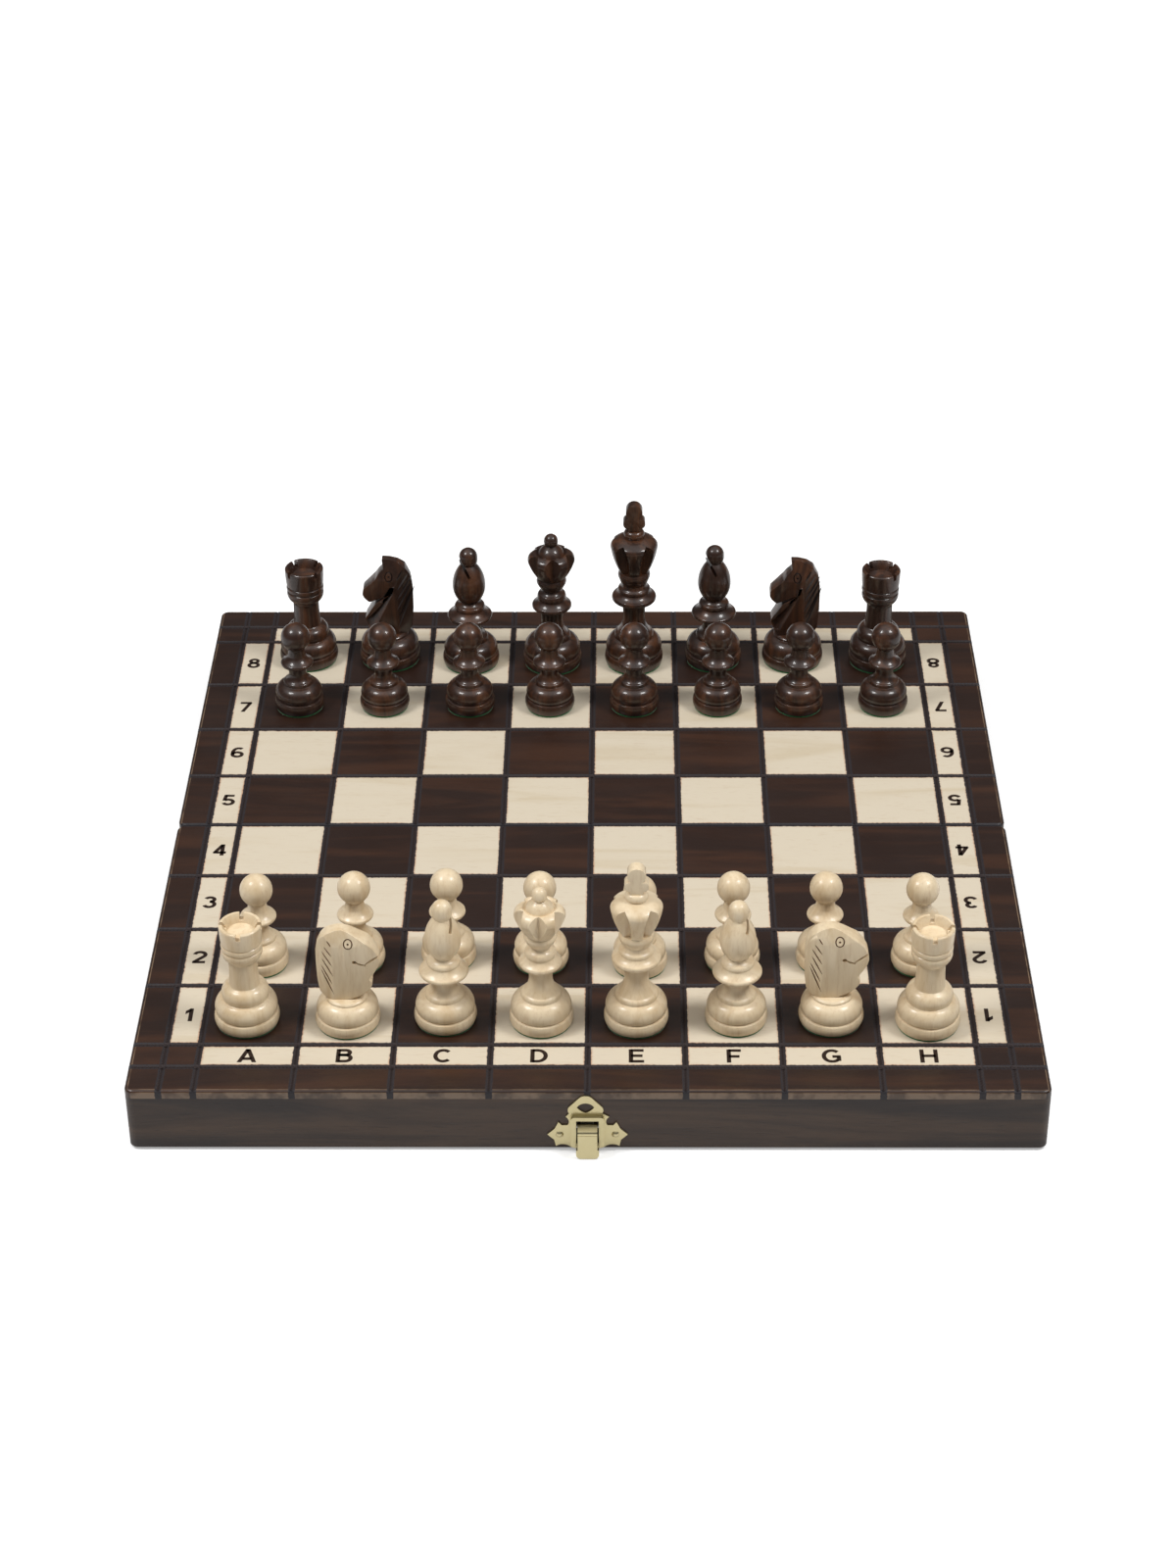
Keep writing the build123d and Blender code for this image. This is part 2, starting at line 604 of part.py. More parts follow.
def main():
    walls = {
        "top_panel": top_panel(),
        "outer_wall": outer_wall(),
        "seam_wall": seam_wall(),
        "left_wall": side_wall(-1),
        "right_wall": side_wall(1),
    }
    for name, wall in walls.items():
        keep(f"front_{name}", wall)
        keep(f"rear_{name}", rear(wall))
    for name, x in (("left", -hinge_from_middle), ("right", hinge_from_middle)):
        keep(f"{name}_hinge_front_leaf", leaf_at(x, True))
        keep(f"{name}_hinge_rear_leaf", rear(leaf_at(x, False)))
        half = hinge_length / 2
        keep(f"{name}_hinge_pin", rod(x - half, x + half, hinge_pin_radius, 0, hinge_axis))
    screws = [place * countersunk_screw() for place in screw_places()]
    keep("front_hinge_screws", *screws)
    keep("rear_hinge_screws", *[rear(screw) for screw in screws])
    keep("clasp_plate", clasp_plate())
    keep("clasp_lever", lever())
    keep("clasp_pin", clasp_pin())
    keep("clasp_spring", clasp_spring())
    nails = [place * nail() for place in nail_places()]
    keep("clasp_nails", *nails)
    keep("keeper_plate", rear(keeper()))
    keep("keeper_nails", *[rear(each) for each in nails])
    standing_pieces()


main()
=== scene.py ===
# Folding chess set: the finish of every surface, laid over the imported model.
# One unit is a metre. +X is the H side, +Y points away from the white player, +Z is up.
import json
import math

import bmesh
import bpy
import numpy as np
from mathutils import Matrix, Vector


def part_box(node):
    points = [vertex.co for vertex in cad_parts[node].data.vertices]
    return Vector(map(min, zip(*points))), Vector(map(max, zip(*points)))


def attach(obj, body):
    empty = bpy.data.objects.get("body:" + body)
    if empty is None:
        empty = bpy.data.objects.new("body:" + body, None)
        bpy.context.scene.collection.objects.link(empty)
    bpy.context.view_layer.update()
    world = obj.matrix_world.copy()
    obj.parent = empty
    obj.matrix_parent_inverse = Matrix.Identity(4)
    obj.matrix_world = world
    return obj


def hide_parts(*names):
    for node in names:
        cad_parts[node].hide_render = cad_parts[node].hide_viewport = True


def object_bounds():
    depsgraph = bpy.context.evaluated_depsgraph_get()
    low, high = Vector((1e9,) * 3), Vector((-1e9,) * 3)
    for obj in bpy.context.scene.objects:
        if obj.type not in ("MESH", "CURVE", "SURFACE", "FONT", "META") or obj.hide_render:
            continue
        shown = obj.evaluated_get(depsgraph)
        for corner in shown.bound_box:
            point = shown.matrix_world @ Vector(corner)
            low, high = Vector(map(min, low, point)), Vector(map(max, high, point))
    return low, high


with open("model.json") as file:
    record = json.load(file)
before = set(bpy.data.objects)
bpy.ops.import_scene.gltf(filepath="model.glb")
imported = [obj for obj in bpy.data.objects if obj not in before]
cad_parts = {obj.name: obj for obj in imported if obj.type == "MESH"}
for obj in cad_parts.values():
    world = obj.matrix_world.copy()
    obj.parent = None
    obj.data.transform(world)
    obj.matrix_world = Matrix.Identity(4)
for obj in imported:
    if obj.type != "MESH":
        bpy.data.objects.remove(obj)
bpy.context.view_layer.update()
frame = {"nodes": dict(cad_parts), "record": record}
boardTop = float(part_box("front_top_panel")[1][2])
mm = 0.001
print("frame loaded")


# Small helpers for arrays and meshes

def placed(name, data):
    piece = bpy.data.objects.new(name, data)
    bpy.context.scene.collection.objects.link(piece)
    return piece


# A smooth mesh object from an (n, 3) array of points and arrays of quads or triangles.
def addMesh(name, points, *faceSets):
    mesh = bpy.data.meshes.new(name)
    corners = np.concatenate([faces.ravel() for faces in faceSets]).astype(np.int32)
    sizes = np.concatenate([np.full(len(faces), faces.shape[1]) for faces in faceSets])
    starts = np.concatenate([[0], np.cumsum(sizes)[:-1]]).astype(np.int32)
    mesh.vertices.add(len(points))
    mesh.vertices.foreach_set("co", np.asarray(points, np.float32).ravel())
    mesh.loops.add(len(corners))
    mesh.loops.foreach_set("vertex_index", corners)
    mesh.polygons.add(len(sizes))
    mesh.polygons.foreach_set("loop_start", starts)
    mesh.polygons.foreach_set("use_smooth", np.ones(len(sizes), bool))
    mesh.update(calc_edges=True)
    mesh.validate()
    return placed(name, mesh)


def pointsOf(piece):
    points = np.empty(len(piece.data.vertices) * 3, np.float32)
    piece.data.vertices.foreach_get("co", points)
    return points.reshape(-1, 3)


def movePoints(piece, points):
    piece.data.vertices.foreach_set("co", points.astype(np.float32).ravel())


# Apply a change of faces to a piece's mesh
def withForm(piece, change):
    form = bmesh.new()
    form.from_mesh(piece.data)
    change(form)
    form.to_mesh(piece.data)
    form.free()


def faceOutward(piece):
    withForm(piece, lambda form: bmesh.ops.recalc_face_normals(form, faces=form.faces))


def faceUp(piece):
    withForm(piece, lambda form: bmesh.ops.reverse_faces(form, faces=[f for f in form.faces if f.normal.z < 0]))


# Give a piece its finish and the body that carries it, and hide the node it stands for, if any.
def dress(piece, body, material, node=None):
    if not piece.data.materials:
        piece.data.materials.append(material)
    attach(piece, body)
    if node:
        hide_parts(node)
    return piece


def bodyOf(node):
    return next(name for name, nodes in frame["record"]["behaviour"]["bodies"].items() if node in nodes)


# Shader helpers

# A colour as read on a screen, 0 to 255, turned into the shader's linear values.
def linear(red, green, blue):
    parts = [v / 255 for v in (red, green, blue)]
    return tuple(v / 12.92 if v < 0.04045 else ((v + 0.055) / 1.055) ** 2.4 for v in parts) + (1.0,)


# Link or set a node's inputs
def feed(tree, node, inputs):
    for key, value in inputs.items():
        if isinstance(value, bpy.types.NodeSocket):
            tree.links.new(value, node.inputs[key])
        else:
            node.inputs[key].default_value = value


def addNode(tree, kind, inputs=None, **settings):
    node = tree.nodes.new("ShaderNode" + kind)
    for key, value in settings.items():
        setattr(node, key, value)
    feed(tree, node, inputs or {})
    return node


def calc(tree, operation, a, b=0.0, c=0.0):
    return addNode(tree, "Math", {0: a, 1: b, 2: c}, operation=operation).outputs[0]


def times(tree, a, b):
    return calc(tree, "MULTIPLY", a, b)


# Map value from one range to another along an S curve.
def ease(tree, value, fromLow, fromHigh, toLow=0.0, toHigh=1.0):
    inputs = {"Value": value, "From Min": fromLow, "From Max": fromHigh, "To Min": toLow, "To Max": toHigh}
    return addNode(tree, "MapRange", inputs, interpolation_type="SMOOTHSTEP").outputs["Result"]


def blendColor(tree, factor, a, b, how="MIX"):
    return addNode(tree, "Mix", {0: factor, 6: a, 7: b}, data_type="RGBA", blend_type=how).outputs[2]


def stretched(tree, vector, scale):
    return addNode(tree, "VectorMath", {0: vector, 1: scale}, operation="MULTIPLY").outputs[0]


def noise(tree, vector, scale, detail=3.0, roughness=0.5, distortion=0.0):
    inputs = {"Vector": vector, "Scale": scale, "Detail": detail, "Roughness": roughness}
    inputs["Distortion"] = distortion
    return addNode(tree, "TexNoise", inputs).outputs["Fac"]


# A material with its Principled shader; plain values are set on the shader's own sockets.
def newMaterial(name, **plain):
    material = bpy.data.materials.new(name)
    material.use_nodes = True
    tree = material.node_tree
    shader = tree.nodes["Principled BSDF"]
    feed(tree, shader, plain)
    place = addNode(tree, "TexCoord").outputs["Object"]
    return material, tree, shader, place


def newGroup(name, inputs, outputs):
    group = bpy.data.node_groups.new(name, "ShaderNodeTree")
    for label, kind, value in inputs:
        socket = group.interface.new_socket(label, in_out="INPUT", socket_type=kind)
        if value is not None:
            socket.default_value = value
    for label, kind in outputs:
        group.interface.new_socket(label, in_out="OUTPUT", socket_type=kind)
    return group, group.nodes.new("NodeGroupInput").outputs, group.nodes.new("NodeGroupOutput").inputs


def useGroup(tree, group, inputs):
    return addNode(tree, "Group", inputs, node_tree=group).outputs


def bump(tree, shader, height, strength, distance):
    node = addNode(tree, "Bump", {"Height": height, "Strength": strength, "Distance": distance})
    tree.links.new(node.outputs["Normal"], shader.inputs["Normal"])


# Shared effects

# Wood grain: broad figure from a bent noise, fibres from a stretched one, and short pores.
# The vector is already stretched, so that the fibres run along its squeezed axis.
def makeGrain():
    group, given, out = newGroup(
        "woodGrain",
        [("Vector", "NodeSocketVector", None), ("Figure Scale", "NodeSocketFloat", 30.0),
         ("Fibre Scale", "NodeSocketFloat", 220.0)],
        [("Figure", "NodeSocketFloat"), ("Fibre", "NodeSocketFloat"), ("Pores", "NodeSocketFloat")],
    )
    figure = noise(group, given["Vector"], given["Figure Scale"], 4.0, 0.55, 1.2)
    fibre = noise(group, given["Vector"], given["Fibre Scale"], 3.0, 0.65, 0.3)
    poreScale = times(group, given["Fibre Scale"], 2.6)
    pores = ease(group, noise(group, given["Vector"], poreScale, 1.0, 0.4), 0.6, 0.75)
    group.links.new(figure, out["Figure"])
    group.links.new(fibre, out["Fibre"])
    group.links.new(pores, out["Pores"])
    return group


# Handling marks: a soft cloudy mask for the sheen, and fine scratches the same all ways.
def makeWear():
    group, given, out = newGroup(
        "handlingMarks",
        [("Vector", "NodeSocketVector", None), ("Low", "NodeSocketFloat", 0.3), ("High", "NodeSocketFloat", 0.45)],
        [("Roughness", "NodeSocketFloat"), ("Clouds", "NodeSocketFloat")],
    )
    clouds = noise(group, given["Vector"], 45.0, 4.0, 0.6)
    specks = noise(group, given["Vector"], 900.0, 2.0, 0.5)
    mixed = calc(group, "MULTIPLY_ADD", specks, 0.35, times(group, clouds, 0.65))
    rough = addNode(group, "MapRange", {"Value": mixed, "From Min": 0.3, "From Max": 0.7,
                                        "To Min": given["Low"], "To Max": given["High"]}).outputs["Result"]
    group.links.new(rough, out["Roughness"])
    group.links.new(clouds, out["Clouds"])
    return group


grainGroup = makeGrain()
wearGroup = makeWear()


# Link the handling marks to a shader's roughness, and give back their clouds
def addWear(tree, shader, place, low, high):
    marks = useGroup(tree, wearGroup, {"Vector": place, "Low": low, "High": high})
    tree.links.new(marks["Roughness"], shader.inputs["Roughness"])
    return marks["Clouds"]


# Raised fibres and sunken pores
def grainBump(tree, shader, fibres, poreDepth, strength, distance):
    height = calc(tree, "ADD", fibres["Fibre"], times(tree, fibres["Pores"], -poreDepth))
    bump(tree, shader, height, strength, distance)


board = {
    "square": 37.5 * mm,
    "gridHalf": 150.0 * mm,  # four squares from the middle to the grid's edge
    "numberStrip": 13.3 * mm,
    "letterStrip": 13.5 * mm,
    "grooveHalf": 1.15 * mm,
    "grooveDepth": 0.5 * mm,
    "twistPitch": 1.5 * mm,  # the rope-like marks burnt into each groove
    "twistHeight": 0.2 * mm,
    "twistLean": 0.9,
    "arris": 1.3 * mm,
    "scorch": 2.1 * mm,
    "dark": linear(38, 22, 15),
    "darkStreak": linear(62, 37, 23),
    "light": linear(206, 194, 173),
    "lightFigure": linear(193, 177, 149),
    "scorched": linear(168, 112, 74),
    "burnt": linear(33, 29, 33),
    # Pale colour of the edge lines: partly worn wood, partly a painted highlight of the rounded edge
    "wornAndHighlight": linear(150, 126, 102),
}


# The stained and burnt board: squares and strips from the place on the board, scorched at their edges.
def boardMaterial():
    material, tree, shader, place = newMaterial("boardSurface", **{"Coat Weight": 0.15, "Coat Roughness": 0.2,
                                                                    "Specular IOR Level": 0.4})
    split = addNode(tree, "SeparateXYZ", {0: place}).outputs
    size = board["square"]
    sideX = calc(tree, "ABSOLUTE", split["X"])
    sideY = calc(tree, "ABSOLUTE", split["Y"])
    column = calc(tree, "FLOOR", calc(tree, "DIVIDE", split["X"], size))
    row = calc(tree, "FLOOR", calc(tree, "DIVIDE", split["Y"], size))
    odd = calc(tree, "PINGPONG", calc(tree, "ADD", column, row), 1.0)
    insideX = calc(tree, "LESS_THAN", sideX, board["gridHalf"])
    insideY = calc(tree, "LESS_THAN", sideY, board["gridHalf"])
    squares = times(tree, odd, times(tree, insideX, insideY))
    numberEnd, letterEnd = [board["gridHalf"] + board[k] for k in ("numberStrip", "letterStrip")]
    stripX = calc(tree, "LESS_THAN", sideX, numberEnd)
    stripY = calc(tree, "LESS_THAN", sideY, letterEnd)
    numbers = times(tree, insideY, calc(tree, "SUBTRACT", stripX, insideX))
    letters = times(tree, insideX, calc(tree, "SUBTRACT", stripY, insideY))
    light = calc(tree, "ADD", squares, calc(tree, "ADD", numbers, letters), 0.0)

    gridGap = calc(tree, "MINIMUM", calc(tree, "PINGPONG", split["X"], size / 2),
                   calc(tree, "PINGPONG", split["Y"], size / 2))
    numberGap, letterGap = [calc(tree, "ABSOLUTE", calc(tree, "SUBTRACT", side, end))
                            for side, end in ((sideX, numberEnd), (sideY, letterEnd))]
    gap = calc(tree, "MINIMUM", gridGap, calc(tree, "MINIMUM", numberGap, letterGap))
    ragged = noise(tree, place, 700.0, 2.0, 0.6)
    patchy = noise(tree, place, 60.0, 2.0, 0.5)
    reach = calc(tree, "MULTIPLY_ADD", calc(tree, "SUBTRACT", ragged, 0.5), 0.9 * mm, gap)
    burntMask = ease(tree, reach, board["grooveHalf"], board["grooveHalf"] * 1.25, 1.0, 0.0)
    scorchMask = times(tree, ease(tree, reach, board["grooveHalf"], board["scorch"], 1.0, 0.0),
                      ease(tree, patchy, 0.35, 0.65, 0.25, 1.0))

    fibres = useGroup(tree, grainGroup, {"Vector": stretched(tree, place, (0.12, 1.0, 1.0)), "Figure Scale": 55.0,
                                         "Fibre Scale": 650.0})
    darkWood = blendColor(tree, ease(tree, fibres["Figure"], 0.42, 0.7), board["dark"], board["darkStreak"])
    darkWood = blendColor(tree, times(tree, fibres["Fibre"], 0.45), darkWood, linear(34, 19, 13))
    lightWood = blendColor(tree, ease(tree, fibres["Figure"], 0.5, 0.75, 0.0, 0.7), board["light"],
                           board["lightFigure"])
    lightWood = blendColor(tree, times(tree, fibres["Pores"], 0.16), lightWood, linear(170, 140, 105))
    lightWood = blendColor(tree, times(tree, scorchMask, 0.8), lightWood, board["scorched"])
    wood = blendColor(tree, light, darkWood, lightWood)

    # Two thin light lines, at the outer edge and where the arris ends: partly worn wood, partly a painted highlight
    # of the rounded edge
    edgeX = calc(tree, "SUBTRACT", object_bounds()[1][0], sideX)
    edgeY = calc(tree, "SUBTRACT", abs(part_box("front_top_panel")[0][1]), sideY)
    edge = calc(tree, "MINIMUM", edgeX, edgeY)
    fromLine = calc(tree, "ABSOLUTE", calc(tree, "SUBTRACT", edge, board["arris"]))
    nearest = calc(tree, "MINIMUM", fromLine, calc(tree, "ABSOLUTE", edge))
    wornAndHighlightLines = times(tree, ease(tree, nearest, 0.08 * mm, 0.3 * mm, 1.0, 0.0),
                  ease(tree, noise(tree, place, 120.0, 3.0, 0.6), 0.35, 0.6, 0.3, 1.0))
    wood = blendColor(tree, times(tree, wornAndHighlightLines, 0.55), wood, board["wornAndHighlight"])
    wood = blendColor(tree, burntMask, wood, board["burnt"])

    marks = useGroup(tree, wearGroup, {"Vector": place, "Low": 0.3, "High": 0.48})
    rough = calc(tree, "ADD", marks["Roughness"], times(tree, burntMask, 0.3))
    feed(tree, shader, {"Base Color": wood, "Roughness": rough})
    grainBump(tree, shader, fibres, 0.6, 0.25, 0.12 * mm)
    return material


# Charred wood in the grooves, paler on its ridges as a painted highlight.
def burntMaterial():
    material, tree, shader, place = newMaterial("burntGroove", **{"Specular IOR Level": 0.2})
    height = addNode(tree, "SeparateXYZ", {0: place}).outputs["Z"]
    # Painted highlight: the colour lightens from the groove's bottom up to its ridges
    ridgeHighlight = ease(tree, height, boardTop - board["grooveDepth"], boardTop - 0.1 * mm)
    soot = noise(tree, place, 1400.0, 2.0, 0.6)
    color = blendColor(tree, ridgeHighlight, linear(20, 16, 17), linear(50, 45, 47))
    color = blendColor(tree, times(tree, soot, 0.4), color, linear(60, 42, 34))
    feed(tree, shader, {"Base Color": color, "Roughness": ease(tree, soot, 0.3, 0.7, 0.55, 0.8)})
    bump(tree, shader, soot, 0.4, 0.1 * mm)
    return material


# The stained case walls, lacquered thinly, with their grain along the wall.
def stainedMaterial(name, alongX):
    material, tree, shader, place = newMaterial(name, **{"Coat Weight": 0.12, "Coat Roughness": 0.2,
                                                         "Specular IOR Level": 0.35})
    fibres = useGroup(tree, grainGroup, {"Vector": stretched(tree, place, (0.1, 1, 1) if alongX else (1, 0.1, 1)),
                                         "Figure Scale": 60.0, "Fibre Scale": 520.0})
    color = blendColor(tree, ease(tree, fibres["Figure"], 0.38, 0.68), linear(34, 22, 16), linear(76, 56, 40))
    color = blendColor(tree, times(tree, fibres["Fibre"], 0.5), color, linear(38, 25, 20))
    color = blendColor(tree, times(tree, fibres["Pores"], 0.3), color, linear(26, 17, 13))
    feed(tree, shader, {"Base Color": color})
    addWear(tree, shader, place, 0.32, 0.5)
    grainBump(tree, shader, fibres, 0.7, 0.3, 0.15 * mm)
    return material


# Satin wood of the pieces, with its grain up the piece.
def turnedMaterial(name, colors, coat, gloss):
    material, tree, shader, place = newMaterial(name, **{"Coat Weight": coat, "Coat Roughness": gloss,
                                                         "Specular IOR Level": 0.3})
    fibres = useGroup(tree, grainGroup, {"Vector": stretched(tree, place, (1, 1, 0.14)), "Figure Scale": 95.0,
                                         "Fibre Scale": 700.0})
    color = blendColor(tree, ease(tree, fibres["Figure"], 0.4, 0.72), colors["base"], colors["figure"])
    streaks = times(tree, ease(tree, fibres["Fibre"], 0.45, 0.75), colors["streakShare"])
    color = blendColor(tree, streaks, color, colors["streak"])
    feed(tree, shader, {"Base Color": color})
    addWear(tree, shader, place, 0.34, 0.5)
    bump(tree, shader, fibres["Fibre"], 0.12, 0.1 * mm)
    return material


# Knife cuts, in a darker colour than the wood around them
def cutMaterial(name, color):
    return newMaterial(name, **{"Base Color": color, "Roughness": 0.55})[0]


def feltMaterial():
    material, tree, shader, place = newMaterial("greenFelt", **{"Roughness": 0.95, "Sheen Weight": 0.4,
                                                                "Specular IOR Level": 0.2})
    fluff = noise(tree, place, 1800.0, 3.0, 0.7)
    feed(tree, shader, {"Base Color": blendColor(tree, fluff, linear(8, 74, 34), linear(26, 122, 62))})
    bump(tree, shader, fluff, 0.8, 0.3 * mm)
    return material


# Bright metal with faint clouding and fine scratches, and low waves if it is rolled sheet.
def metalMaterial(name, bright, dull, gloss, waves):
    material, tree, shader, place = newMaterial(name, Metallic=1.0)
    clouds = addWear(tree, shader, place, gloss, 0.42)
    feed(tree, shader, {"Base Color": blendColor(tree, clouds, bright, dull)})
    if waves:
        bump(tree, shader, noise(tree, place, 260.0, 2.0, 0.5), waves, 0.3 * mm)
    return material


# Burnt-in brown characters, a little uneven.
def inkMaterial():
    material, tree, shader, place = newMaterial("burntPrint", **{"Specular IOR Level": 0.25})
    uneven = noise(tree, place, 900.0, 3.0, 0.6)
    color = blendColor(tree, uneven, linear(30, 19, 14), linear(46, 30, 22))
    feed(tree, shader, {"Base Color": color, "Roughness": ease(tree, uneven, 0.3, 0.7, 0.4, 0.6)})
    return material


boardFinish = boardMaterial()
burntFinish = burntMaterial()
longWallFinish = stainedMaterial("stainedWallLong", True)
sideWallFinish = stainedMaterial("stainedWallSide", False)
lightWood = {"base": linear(224, 205, 173), "figure": linear(209, 185, 148), "streak": linear(190, 158, 118),
             "streakShare": 0.35}
darkWood = {"base": linear(46, 28, 20), "figure": linear(86, 53, 33), "streak": linear(24, 14, 10),
            "streakShare": 0.6}
lightFinish = turnedMaterial("lightPieceWood", lightWood, 0.4, 0.2)
darkFinish = turnedMaterial("darkPieceWood", darkWood, 0.5, 0.12)
lightCutFinish = cutMaterial("lightKnifeCuts", linear(112, 70, 40))
darkCutFinish = cutMaterial("darkKnifeCuts", linear(28, 17, 13))
feltFinish = feltMaterial()
brassFinish = metalMaterial("paleBrass", linear(208, 197, 158), linear(190, 177, 134), 0.26, 0.1)
steelFinish = metalMaterial("pinSteel", linear(188, 188, 186), linear(150, 150, 152), 0.25, 0)
inkFinish = inkMaterial()
print("finishes made")


# Case: the CAD nodes keep their shape and get their finish

caseFinishes = {"top_panel": boardFinish, "outer_wall": longWallFinish, "seam_wall": longWallFinish,
                "left_wall": sideWallFinish, "right_wall": sideWallFinish}


def finishNode(node, material):
    piece = frame["nodes"][node]
    for index in range(max(1, len(piece.material_slots))):
        if not piece.material_slots:
            piece.data.materials.append(material)
        else:
            piece.material_slots[index].link = "OBJECT"
            piece.material_slots[index].material = material


for node in frame["nodes"]:
    ending = node.split("_", 1)[1] if "_" in node else node
    if node.startswith(("front_", "rear_")) and ending in caseFinishes:
        finishNode(node, caseFinishes[ending])
    elif node.endswith("screws") or node.endswith("hinge_pin") or node in ("clasp_pin", "clasp_spring"):
        finishNode(node, steelFinish)
    elif "hinge" in node or node.startswith(("clasp", "keeper")):
        finishNode(node, brassFinish)
print("case finished")


# Burnt grooves: strips of rope-like marks lying in the vee grooves of both halves

# Points and quads of one strip from start to end. Across it the height is a vee, and along it a sine wave
# whose crests lean, which gives the slanting ridges of a burning wheel.
def ropeStrip(start, end, top):
    start, end = np.array(start), np.array(end)
    length = np.linalg.norm(end - start)
    along = np.linspace(0, length, int(length / board["twistPitch"] * 4) + 1)
    across = np.linspace(-1, 1, 7) * board["grooveHalf"]
    s, t = np.meshgrid(along, across, indexing="ij")
    openness = 1 - np.abs(t) / board["grooveHalf"]
    wave = np.sin(2 * math.pi * (s + board["twistLean"] * t) / board["twistPitch"])
    height = top - board["grooveDepth"] * openness + board["twistHeight"] * wave * (0.35 + 0.65 * openness)
    height = np.minimum(height, top + 0.04 * mm)
    forward = (end - start) / length
    side = np.array([-forward[1], forward[0]])
    flat = start + s[..., None] * forward + t[..., None] * side
    points = np.concatenate([flat, height[..., None]], -1).reshape(-1, 3)
    index = np.arange(s.size).reshape(s.shape)
    quads = np.stack([index[:-1, :-1], index[1:, :-1], index[1:, 1:], index[:-1, 1:]], -1).reshape(-1, 4)
    return points, quads


def joined(parts):
    points, faces, count = [], [], 0
    for somePoints, someFaces in parts:
        points.append(somePoints)
        faces.append(someFaces + count)
        count += len(somePoints)
    return np.concatenate(points), np.concatenate(faces)


def burntGrooves(half):
    low, high = [np.array(corner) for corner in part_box(half + "_top_panel")]
    inset = board["arris"]
    size = board["square"]
    way = -1 if half == "front" else 1
    columns = [(i - 4) * size for i in range(9)]
    columns += [side * (board["gridHalf"] + board["numberStrip"]) for side in (-1, 1)]
    rows = [way * (i + 1) * size for i in range(4)] + [way * (board["gridHalf"] + board["letterStrip"])]
    strips = [ropeStrip((x, low[1] + inset), (x, high[1] - inset), high[2]) for x in columns]
    strips += [ropeStrip((low[0] + inset, y), (high[0] - inset, y), high[2]) for y in rows]
    piece = addMesh(half + "BurntGrooves", *joined(strips))
    dress(piece, bodyOf(half + "_top_panel"), burntFinish)


for half in ("front", "rear"):
    burntGrooves(half)
print("grooves burnt")


# Characters of the board's coordinates, drawn with a broad pen of one width

printing = {
    "height": 8.1 * mm,  # of a capital
    "widen": 1.06,
    "pen": 0.097,  # half the stroke's width, as a share of the height
    "rise": 0.03 * mm,
}


def arc(x, y, wide, tall, start, end, count=26):
    angles = np.radians(np.linspace(start, end, count))
    return [(x + wide * math.cos(a), y + tall * math.sin(a)) for a in angles]


# Each character is a list of strokes on a height of 1: two points for a bar, more for a curve.
stem = [(0.09, 0), (0.09, 1)]
letters = {
    "A": [[(0.09, 0), (0.43, 1)], [(0.77, 0), (0.43, 1)], [(0.22, 0.27), (0.64, 0.27)]],
    "B": [stem, [(0.09, 0.912)] + arc(0.4, 0.735, 0.2, 0.177, 90, -90) + [(0.09, 0.558)],
          [(0.09, 0.545)] + arc(0.42, 0.317, 0.235, 0.229, 90, -90) + [(0.09, 0.088)]],
    "C": [arc(0.44, 0.5, 0.35, 0.412, 45, 315)],
    "D": [stem, [(0.09, 0.912), (0.3, 0.912)] + arc(0.32, 0.5, 0.36, 0.412, 90, -90) + [(0.09, 0.088)]],
    "E": [stem, [(0.09, 0.912), (0.66, 0.912)], [(0.09, 0.51), (0.61, 0.51)],
          [(0.09, 0.088), (0.68, 0.088)]],
    "F": [stem, [(0.09, 0.912), (0.64, 0.912)], [(0.09, 0.47), (0.57, 0.47)]],
    "G": [arc(0.45, 0.5, 0.36, 0.412, 45, 318), [(0.76, 0.13), (0.76, 0.46)], [(0.47, 0.46), (0.845, 0.46)]],
    "H": [stem, [(0.71, 0), (0.71, 1)], [(0.09, 0.52), (0.71, 0.52)]],
    "1": [[(0.36, 0), (0.36, 1)], [(0.1, 0.68), (0.36, 0.9)]],
    "2": [arc(0.34, 0.69, 0.25, 0.222, 170, -38) + [(0.1, 0.1)], [(0.03, 0.088), (0.63, 0.088)]],
    "3": [arc(0.31, 0.735, 0.21, 0.177, 160, -90), arc(0.31, 0.317, 0.245, 0.229, 90, -160)],
    "4": [[(0.47, 0), (0.47, 1)], [(0.1, 0.24), (0.47, 1)], [(0.04, 0.27), (0.66, 0.27)]],
    "5": [[(0.13, 0.912), (0.58, 0.912)], [(0.1, 0.45), (0.17, 1)], arc(0.31, 0.317, 0.245, 0.229, 140, -160)],
    "6": [arc(0.34, 0.3, 0.245, 0.212, 0, 360), arc(0.38, 0.5, 0.285, 0.412, 55, 180) + [(0.095, 0.3)]],
    "7": [[(0.05, 0.912), (0.62, 0.912)], [(0.22, 0), (0.56, 0.92)]],
    "8": [arc(0.34, 0.735, 0.2, 0.177, 0, 360), arc(0.34, 0.302, 0.245, 0.214, 0, 360)],
}


# A bar ends level or plumb, whichever is nearer square. A curve's sides lie half a pen to each side.
def penStroke(points):
    points, half = np.array(points, float), printing["pen"]
    way = np.gradient(points, axis=0)
    way /= np.linalg.norm(way, axis=1)[:, None]
    if len(points) == 2:
        steep = abs(way[0, 1]) > abs(way[0, 0])
        aside = np.array([(half / abs(way[0, 1]), 0) if steep else (0, half / abs(way[0, 0]))] * 2)
    else:
        aside = np.stack([-way[:, 1], way[:, 0]], -1) * half
    corners = np.stack([points - aside, points + aside], 1).reshape(-1, 2)
    index = np.arange(len(points) - 1) * 2
    return corners, np.stack([index, index + 2, index + 3, index + 1], -1)


# A character's points and quads, centred on x, y, and turned half round if asked.
def characterMesh(character, x, y, turned):
    flat, quads = joined([penStroke(stroke) for stroke in letters[character]])
    flat = (flat - (flat.max(0) + flat.min(0)) / 2) * printing["height"] * (printing["widen"], 1)
    if turned:
        flat = -flat
    return np.hstack([flat + (x, y), np.full((len(flat), 1), boardTop + printing["rise"])]), quads


